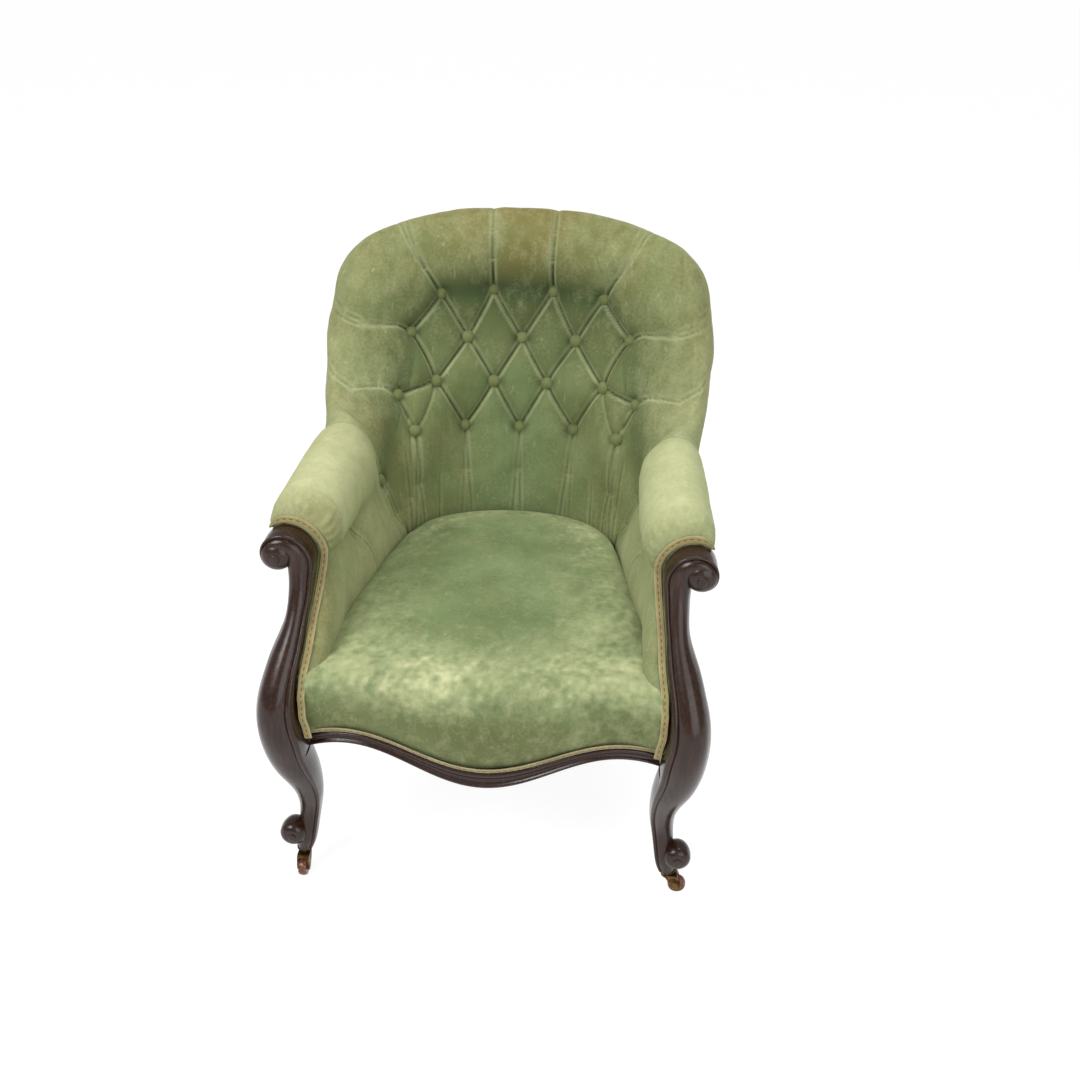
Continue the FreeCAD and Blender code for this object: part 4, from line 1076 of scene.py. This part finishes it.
@dataclass
class Buttons:
    """Covered buttons in the hollows of the tufting."""

    velvet: Material
    radius: float = 12.0
    tall: float = 9.0
    proud: float = 3.5
    # Height in mm at which the ball is cut off below, and how browned the pile is.
    foot: float = -3.0
    tan: float = 0.45

    def build(self, seats: dict[str, tuple[Array, Array]]) -> None:
        """Makes one button and sets a copy of it in each seat.

        Args:
            seats: Place and facing of each button.
        """
        bpy.ops.object.select_all(action="DESELECT")
        bpy.ops.mesh.primitive_uv_sphere_add(segments=28, ring_count=16, radius=self.radius * MM)
        model = bpy.context.object
        edit(model)
        bpy.ops.transform.resize(value=(1, 1, self.tall / self.radius))
        cut = (0, 0, self.foot * MM)
        bpy.ops.mesh.bisect(plane_co=cut, plane_no=(0, 0, -1), clear_outer=True, use_fill=True)
        bpy.ops.object.mode_set(mode="OBJECT")
        bpy.ops.object.shade_smooth_by_angle(angle=math.radians(50))
        copies = []
        for place, way in seats.values():
            copy = model.copy()
            copy.data = model.data.copy()
            bpy.context.scene.collection.objects.link(copy)
            turn = Vector(way).to_track_quat("Z", "Y").to_matrix().to_4x4()
            at = Vector(place + way * self.proud) * MM
            copy.data.transform(Matrix.Translation(at) @ turn)
            copies.append(copy)
        bpy.data.objects.remove(model)
        bpy.ops.object.select_all(action="DESELECT")
        for copy in copies:
            copy.select_set(True)
        bpy.context.view_layer.objects.active = copies[0]
        bpy.ops.object.join()
        piece = bpy.context.object
        piece.name = "covered_buttons"
        tan = piece.data.attributes.new("tan", "FLOAT", "POINT")
        tan.data.foreach_set("value", np.full(len(piece.data.vertices), self.tan, np.float32))
        hand_over(piece, self.velvet, Slot.VELVET, CHAIR, "upholstery_buttons")


@dataclass
class Seat:
    """Sprung seat: a crowned velvet top with a rounded fall over the front rail."""

    velvet: Material
    pitch: float = 3.4
    # Half widths in mm of the top at its front and back, and of the fall.
    half_front: float = 274.0
    half_back: float = 188.0
    half_fall: float = 278.0
    # How far the fall comes forward at its outer ends, to meet the braid on the legs.
    flare: float = 18.0
    # Share of the half width where the front corners start, and how much less the cover drops there.
    corner: float = 0.75
    corner_lift: float = 0.7
    # Depth of the back's ends, how far its middle lies behind them, and how far the sides bow out.
    back_y: float = 98.0
    back_bow: float = 107.0
    side_bow: float = 5.0
    # Height of the fall's top, depth of the hollow sat into the cover, and thickness of the cover.
    edge_height: float = 398.0
    hollow: float = 5.0
    cloth: float = 4.0
    # Place across the seat, and how far the cover drops there toward the arm.
    across: tuple[tuple[float, float], ...] = (
        (0, 0), (0.3, 0.8), (0.55, 3), (0.75, 7), (0.9, 13), (0.97, 22), (1, 42))
    # Share of the way from front to back, and height of the top there.
    crown: tuple[tuple[float, float], ...] = (
        (0.1, 427), (0.25, 435), (0.45, 440), (0.65, 438), (0.82, 430), (0.93, 420), (1.0, 402))

    @staticmethod
    def rail(x: float) -> tuple[float, float]:
        """Front face and ledge of the front rail.

        Args:
            x: Place across the chair in mm.

        Returns:
            Depth of the face and height of the ledge in mm.
        """
        face, bow, bow_half = -352, 27, 300
        ledge, wave, wave_half = 301, 47, 210
        bowed = 0.5 * (1 + math.cos(math.pi * x / bow_half))
        waved = 0.5 * (1 + math.cos(math.pi * x / wave_half))
        return face - bow * bowed, ledge - wave * waved

    def section(self, s: float, drop: float) -> Array:
        """One line from the front fall over the top to the back.

        Args:
            s: Place across, from -1 to 1.
            drop: How far the cover drops toward the arm there.

        Returns:
            Points in mm.
        """
        x, low = s * self.half_front, s * self.half_fall
        face, ledge = self.rail(x)
        ease = 1 - s**6
        corner = max(0.0, (abs(s) - self.corner) / (1 - self.corner))
        out = self.flare * corner**2
        near = drop * (1 - self.corner_lift * corner)
        tall = self.edge_height - ledge
        turn = s * math.pi / 2
        rear = np.array([self.half_back * math.sin(turn), self.back_y + self.back_bow * math.cos(turn)])
        points = [
            (low, face + 8, ledge + 1),
            (low, face - 2 - 0.4 * out, ledge + 4),
            (low, face - 4 - 8 * ease - 0.8 * out, ledge + 0.25 * tall),
            (low, face - 4 - 14 * ease - out, ledge + 0.55 * tall),
            (0.6 * low + 0.4 * x, face - 4 - 13 * ease - out, ledge + 0.8 * tall),
            (x, face - 3 - 6 * ease - 0.8 * out, 402 - 0.25 * near),
            (x, face + 9 - 0.4 * out, 417 - 0.5 * near),
        ]
        front = np.array([x, face + 9])
        for t, height in self.crown:
            place = front + (rear - front) * t
            bow = self.side_bow * s * abs(s) ** 3 * math.sin(math.pi * t)
            fallen = near + (drop - near) * min(1.0, t / 0.25)
            points.append((place[0] + bow, place[1], height - fallen))
        points.append((rear[0] * 1.02, rear[1] + 4, 370 - drop * 0.2))
        return np.array(points)

    @staticmethod
    def wear(grid: Array) -> Array:
        """How far the pile has worn: most along the front edge, then at the sides and the back.

        Args:
            grid: Surface points in mm.

        Returns:
            From 0, full pile, to 1, bare.
        """
        x, y, z = np.moveaxis(grid, -1, 0)
        edge = bell(y + 350, 70) * ramp(z, 365, 40) * (0.85 - 0.25 * bell(x - 20, 60))
        torn = bell(x + 75, 75) * bell(y + 362, 34) * ramp(z, 340, 40)
        sides = ramp(np.abs(x), 95, 110) * ramp(y, 40, -200) * ramp(y, -370, 60)
        back = bell(np.hypot(x * 1.05, y - 20) - 170, 38) * ramp(y, -50, 110)
        patchy = 0.75 + 0.35 * ripple(grid, 85, 8.1) + 0.4 * ripple(grid, 24, 4.4)
        patchy = patchy + 0.5 * ripple(grid, 10, 3.7)
        fleck = np.clip(ripple(grid, 16, 5.9) + 0.5 * ripple(grid, 7, 2.8) - 0.15, 0, 1)
        worn = 0.1 + 0.4 * edge + 0.6 * torn + 0.3 * back + 0.22 * sides + 0.16 * ramp(x, 50, 120)
        return np.clip(patchy, 0, 1.4) * worn + 0.55 * fleck * (0.35 + 0.6 * edge + torn + back)

    def build(self) -> None:
        """Makes the seat."""
        right = [self.section(s, drop) for s, drop in self.across]
        left = [self.section(-s, drop) for s, drop in self.across[:0:-1]]
        lines, _ = fair(np.array(left + right).transpose(1, 0, 2), self.pitch)
        grid, _ = fair(lines.transpose(1, 0, 2), self.pitch)
        x, y, z = np.moveaxis(grid, -1, 0)
        push = 1.6 * ripple(grid, 75, 2.2) + 0.7 * ripple(grid, 28, 5.5)
        push -= self.hollow * bell(x, 120) * bell(y + 60, 130) * ramp(z, 395, 20)
        grid = grid + push[..., None] * facing(grid)
        y, z = grid[..., 1], grid[..., 2]
        fall = ramp(z, 395, -50) * (y < -300)
        piece = lay_grid("seat_cover", grid)
        mark(piece, "wear", self.wear(grid))
        # Painted shade in the gap where the seat meets the back, and on the front fall.
        mark(piece, "crease_shade", np.minimum(ramp(z, 410, -40), 0.7) * (y > -300) + 0.4 * fall)
        mark(piece, "tan", 0.15 + 0.12 * ripple(grid, 90, 6.6) + 0.3 * fall)
        thicken(piece, self.cloth)
        hand_over(piece, self.velvet, Slot.VELVET, CHAIR, "seat_pad")


@dataclass
class OutsideCovers:
    """Plain velvet panels that close the back and the outsides of the arms."""

    velvet: Material
    tub: Tub
    pitch: float = 7.0
    cloth: float = 3.0
    # Number of the section where the back's panel ends and the arm's starts.
    corner: int = 4
    # Foot of the panel on the rails in mm, for each back section and then each arm section.
    feet: tuple[tuple[float, float], ...] = (
        (0, 303), (55, 303), (125, 303), (205, 302), (233, 301), (236, 285), (237, 262), (241, 215),
        (244, 175), (250, 125), (254, 85.8), (262.9, 25), (276, -70), (288.4, -160), (296, -215))
    # Front edge of the arm's panel in mm, up the back of the leg.
    front: tuple[Point, ...] = (
        (307, -334, 265.5), (313, -335, 267), (313, -336, 277), (312, -338, 370), (303, -273, 496),
        (309, -244, 572), (310, -240, 580), (304, -239, 587))
    foot_height: float = 267.0
    # How far the panel rises behind the roll, then the turned edges at its foot and head: inward and up.
    rise: float = 5.0
    foot_turn: tuple[float, float] = (6.0, -1.5)
    head_turn: tuple[float, float] = (5.0, 6.0)
    # Shares of the way up at which the panel's face is set out.
    shares: tuple[float, ...] = (0, 0.03, 0.3, 0.7, 0.97, 1)

    def line(self, section: Array, foot: tuple[float, float]) -> Array:
        """One line of the panel, from the rail up to the roll, with its edges turned in.

        Args:
            section: Section of the padding there.
            foot: Place of the panel's foot.

        Returns:
            Points in mm.
        """
        low = np.array([*foot, self.foot_height])
        high = 0.5 * (section[Row.TAIL] + section[Row.HEM]) + (0, 0, self.rise)
        inward = section[Row.HEM] - section[Row.TAIL]
        inward = inward / np.linalg.norm(inward)
        face = [low + share * (high - low) for share in self.shares]
        foot_edge = low + self.foot_turn[0] * inward + (0, 0, self.foot_turn[1])
        head_edge = high + self.head_turn[0] * inward + (0, 0, self.head_turn[1])
        return np.array([foot_edge, *face, head_edge])

    def build(self) -> None:
        """Makes the three panels."""
        stations = self.tub.stations()
        middle = len(stations) // 2
        right = [self.line(stations[middle + k], foot) for k, foot in enumerate(self.feet)]
        right.append(np.array(self.front, float))
        back = np.array([line * FLIP for line in right[self.corner:0:-1]] + right[:self.corner + 1])
        arm = np.array(right[self.corner:])
        self.panel("outside_back", back, "outside_back_cover")
        self.panel("outside_arm_right", arm, "outside_arm_cover_right")
        self.panel("outside_arm_left", (arm * FLIP)[::-1], "outside_arm_cover_left")

    def panel(self, name: str, lines: Array, node: str) -> None:
        """Makes one panel.

        Args:
            name: Name of the piece.
            lines: Lines of the panel, from left to right as seen from inside.
            node: Node that it replaces.
        """
        rows, _ = fair(lines.transpose(1, 0, 2), self.pitch)
        grid, _ = fair(rows.transpose(1, 0, 2), self.pitch)
        grid = grid[::-1]
        grid = grid + (1.2 * ripple(grid, 90, 1.7))[..., None] * facing(grid)
        piece = lay_grid(name, grid)
        mark(piece, "wear", 0.12 + 0.2 * ripple(grid, 80, 3.3))
        thicken(piece, self.cloth)
        hand_over(piece, self.velvet, Slot.VELVET, CHAIR, node)


@dataclass
class Braids:
    """Gimp braid round the arm facings and along the front rail."""

    gimp: Material
    edge: WoodEdge
    wide: float = 11.5
    # Gap to the wood, height of the cords over the ground, thickness of the ground, and pitch of the twist.
    gap: float = 2.4
    cord: float = 1.1
    thick: float = 1.6
    twist: float = 3.5
    pitch: float = 1.75
    points_across: int = 13
    # Heights on the leg, then turns on the scroll; over the last turns the braid narrows to its end.
    heights: tuple[float, ...] = (
        300, 320, 340, 360, 375, 390, 405, 422, 440, 460, 480, 498, 515, 530, 545)
    turns: tuple[float, ...] = tuple(range(180, 50, -10))
    narrowing: tuple[float, ...] = (0.95, 0.8, 0.55, 0.25)
    # Front run: half its length, how far its lower and upper edge stand before the rail, and its height.
    half_front: float = 274.0
    low_out: float = 6.5
    high_out: float = 13.5
    lift: float = 0.8
    steps: int = 55
    # Cords and core across the braid: place and width as shares of it.
    rims: tuple[float, float] = (0.12, 0.88)
    rim_wide: float = 0.1
    middle: float = 0.5
    core_wide: float = 0.16

    def strip(self, name: str, near: Array, far: Array, node: str) -> None:
        """Makes one braid between two lines: two twisted cords at its edges and a flat core.

        Args:
            name: Name of the piece.
            near: Line along one edge.
            far: Line along the other.
            node: Node that it replaces.
        """
        lines, _ = fair(np.stack([near, far], axis=1), self.pitch)
        across = np.linspace(0, 1, self.points_across)
        grid = lines[:, None, 0] * (1 - across)[None, :, None] + lines[:, None, 1] * across[None, :, None]
        steps = np.linalg.norm(np.diff(grid[:, self.points_across // 2], axis=0), axis=1)
        length = np.concatenate([[0], np.cumsum(steps)])
        beat = np.abs(np.sin(math.pi * length / self.twist))[:, None]
        rim = sum(bell(across - place, self.rim_wide) for place in self.rims)
        core = bell(across - self.middle, self.core_wide)
        rise = self.cord * (rim * (0.55 + 0.45 * beat) + core * (0.5 + 0.3 * (1 - beat)))
        piece = lay_grid(name, grid + rise[..., None] * facing(grid))
        index = np.zeros(len(piece.data.loops), np.int32)
        piece.data.loops.foreach_get("vertex_index", index)
        columns = len(grid)
        chart = np.stack([length[index % columns] * MM, across[index // columns]], axis=1)
        piece.data.uv_layers[0].data.foreach_set("uv", chart.astype(np.float32).ravel())
        thicken(piece, self.thick)
        hand_over(piece, self.gimp, Slot.BRAID, CHAIR, node)

    def build(self) -> None:
        """Makes the three braids."""
        places = [self.edge.on_leg(height) for height in self.heights]
        places += [self.edge.on_scroll(turn) for turn in self.turns]
        shares = np.ones(len(places))
        shares[-len(self.narrowing):] = self.narrowing
        near = np.array([point + out * self.gap for point, out in places]) - (0, 1.0, 0)
        far = np.array([point + out * (self.gap + self.wide * k) for (point, out), k in zip(places, shares)])
        far = far + (0, 1.0, 0)
        self.strip("arm_gimp_right", far, near, "arm_braid_right")
        self.strip("arm_gimp_left", near * FLIP, far * FLIP, "arm_braid_left")
        low, high = [], []
        for x in np.linspace(-self.half_front, self.half_front, self.steps):
            face, ledge = Seat.rail(float(x))
            low.append((x, face - self.low_out, ledge + self.lift))
            high.append((x, face - self.high_out, ledge + self.lift + self.wide))
        self.strip("front_gimp", np.array(low), np.array(high), "front_braid")


@dataclass
class HardParts:
    """Wooden and metal pieces, which keep the frame's shapes with their faces joined and smoothed."""

    frame: dict[str, object]
    bodies: dict[str, str]
    # Angle in degrees beyond which an edge stays sharp.
    angle: float = 32.0

    def smooth(self, node: str, name: str, material: Material, slot: Slot) -> None:
        """Copies a node, joins its faces and smooths them.

        Args:
            node: Node that is copied.
            name: Name of the piece.
            material: Its finish.
            slot: Slot of the record.
        """
        source = self.frame["nodes"][node]
        piece = bpy.data.objects.new(name, source.data.copy())
        bpy.context.scene.collection.objects.link(piece)
        edit(piece)
        bpy.ops.mesh.remove_doubles(threshold=0.00001)
        bpy.ops.object.mode_set(mode="OBJECT")
        bpy.ops.mesh.customdata_custom_splitnormals_clear()
        bpy.ops.object.shade_smooth_by_angle(angle=math.radians(self.angle))
        hand_over(piece, material, slot, self.bodies[node], node)

    def dress(self, nodes: list[str], material: Material) -> None:
        """Gives nodes that keep showing a finish.

        Args:
            nodes: Names of the nodes.
            material: Their finish.
        """
        for node in nodes:
            slots = self.frame["nodes"][node].data.materials
            slots.clear()
            slots.append(material)


@dataclass
class Studio:
    """White room, soft light and the camera of the photograph."""

    # Camera: angles in degrees, distance and aim in metres, focal length and width of the image in pixels.
    azimuth: float = 3.60184
    elevation: float = 29.53227
    roll: float = 1.12631
    distance: float = 2.08269
    aim: Point = (0.06161, -0.017, 0.46924)
    focal_px: float = 1195.5
    image_px: float = 1080.0
    sensor_mm: float = 36.0
    # Strength of the white room as a light, and share of the floor's own glow as it is seen.
    sky: float = 0.44
    glow: float = 0.74
    # Name, place, aim, width in metres and power in watts of each lamp.
    lamps: tuple[tuple[str, Point, Point, float, float], ...] = (
        ("key", (-1.7, -1.9, 2.7), (0, 0, 0.5), 1.5, 66),
        ("fill", (1.6, -2.6, 1.5), (0, 0.2, 0.6), 2.2, 30),
        ("top", (0.3, 0.3, 3.0), (0, 0, 0.4), 1.6, 32))

    def build(self) -> None:
        """Makes the floor, the lamps, the room and the camera."""
        self.floor()
        for lamp in self.lamps:
            self.lamp(*lamp)
        self.room()
        self.camera()
        bpy.context.scene.view_settings.view_transform = "Standard"

    def floor(self) -> None:
        """Lays a white floor that glows a little where it is seen and still takes the shadow."""
        bpy.ops.object.select_all(action="DESELECT")
        bpy.ops.mesh.primitive_plane_add(size=60)
        floor = bpy.context.object
        floor.name = "floor"
        material, tree, shader = new_finish("white_floor")
        plug(tree, shader, {"Base Color": (0.9, 0.9, 0.9, 1), "Roughness": 0.9, "Specular IOR Level": 0.1})
        seen = add_node(tree, "LightPath", {}, "Is Camera Ray")
        path = seen.node.outputs
        for kind in ("Is Glossy Ray", "Is Transmission Ray"):
            seen = add_node(tree, "Math", {0: seen, 1: path[kind]}, operation="MAXIMUM")
        share = add_node(tree, "Math", {0: seen, 1: self.glow}, operation="MULTIPLY")
        glow = add_node(tree, "Emission", {"Color": (1, 1, 1, 1), "Strength": 1.2})
        mixed = add_node(tree, "MixShader", {0: share, 1: shader.outputs[0], 2: glow})
        plug(tree, tree.nodes["Material Output"], {"Surface": mixed})
        floor.data.materials.append(material)

    def room(self) -> None:
        """Makes the room, which is white where it is seen and lights the chair less."""
        world = bpy.data.worlds.new("studio")
        bpy.context.scene.world = world
        world.use_nodes = True
        tree = world.node_tree
        seen = add_node(tree, "LightPath", {}, "Is Camera Ray")
        strength = add_node(tree, "MapRange", {0: seen, 3: self.sky, 4: 1.0})
        plug(tree, tree.nodes["Background"], {"Color": (1, 1, 1, 1), "Strength": strength})

    @staticmethod
    def lamp(name: str, place: Point, aim: Point, size: float, power: float) -> None:
        """Hangs one soft lamp.

        Args:
            name: Name of the lamp.
            place: Where it hangs, in metres.
            aim: Point that it faces.
            size: Width of its face.
            power: Power in watts.
        """
        bpy.ops.object.light_add(type="AREA", location=place)
        lamp = bpy.context.object
        lamp.name = name
        lamp.data.energy = power
        lamp.data.size = size
        lamp.rotation_euler = (Vector(aim) - Vector(place)).to_track_quat("-Z", "Y").to_euler()

    def camera(self) -> None:
        """Sets the camera where the photograph was taken from."""
        a, e, r = (math.radians(v) for v in (self.azimuth, self.elevation, self.roll))
        back = Vector((math.sin(a) * math.cos(e), -math.cos(a) * math.cos(e), math.sin(e)))
        right = Vector((math.cos(a), math.sin(a), 0))
        up = back.cross(right)
        right, up = math.cos(r) * right + math.sin(r) * up, math.cos(r) * up - math.sin(r) * right
        turn = Matrix((right, up, back)).transposed().to_4x4()
        bpy.ops.object.camera_add()
        camera = bpy.context.object
        camera.matrix_world = Matrix.Translation(Vector(self.aim) + self.distance * back) @ turn
        camera.data.sensor_width = self.sensor_mm
        camera.data.lens = self.sensor_mm * self.focal_px / self.image_px
        bpy.context.scene.camera = camera


def main() -> None:
    """Builds the chair's looks round its frame, piece by piece."""
    logging.basicConfig(level=logging.INFO, format="%(name)s: %(message)s")
    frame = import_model()
    bodies = {node: body for body, nodes in frame["record"]["behaviour"]["bodies"].items() for node in nodes}
    velvet = Velvet().build()
    mahogany = Wood("polished_mahogany", "#1d0e07", "#2b160b", "#3d2011", 0.26, 0.4).build()
    beech = Wood("planed_beech", "#8f6b45", "#a98258", "#c09a6c", 0.6, 0.0).build()
    gimp = Gimp().build()
    brass = Metal("tarnished_brass", "#735730", "#3b2d1b", 0.34).build()
    steel = Metal("drawn_spring_steel", "#7b7f83", "#4d4a47", 0.35).build()
    bowl = Stoneware().build()
    jute = Weave("jute_webbing", "#a98a5c", "#5d482b", 3.0).build()
    cotton = Weave("black_cotton_lining", "#26241f", "#0f0e0c", 1.5).build()
    edge = WoodEdge()
    tub = Tub(velvet, edge)
    tub.build()
    Buttons(velvet).build(tub.seats)
    Seat(velvet).build()
    OutsideCovers(velvet, tub).build()
    Braids(gimp, edge).build()
    hard = HardParts(frame, bodies)
    for node in ("front_leg_left", "front_leg_right", "front_seat_rail", "rear_leg_left", "rear_leg_right"):
        hard.smooth(node, f"carved_{node}", mahogany, Slot.MAHOGANY)
    for place in ("front_left", "front_right", "rear_left", "rear_right"):
        for part in ("plate", "horn", "axle"):
            hard.smooth(f"castor_{part}_{place}", f"brass_{part}_{place}", brass, Slot.BRASS)
        hard.smooth(f"castor_wheel_{place}", f"bowl_wheel_{place}", bowl, Slot.BOWL)
    hard.dress(["wing_rail_left", "wing_rail_right", "arm_rail_left", "arm_rail_right", "side_seat_rail_left",
                "side_seat_rail_right", "back_seat_rail", "back_tacking_rail", "crest_rail", "corner_blocks",
                "frame_dowels"], beech)
    hard.dress(["seat_webbing", "seat_hessian", "front_edge_roll", "back_canvas"], jute)
    hard.dress(["seat_springs"], steel)
    hard.dress(["bottom_lining"], cotton)
    Studio().build()


if __name__ == "__main__":
    main()
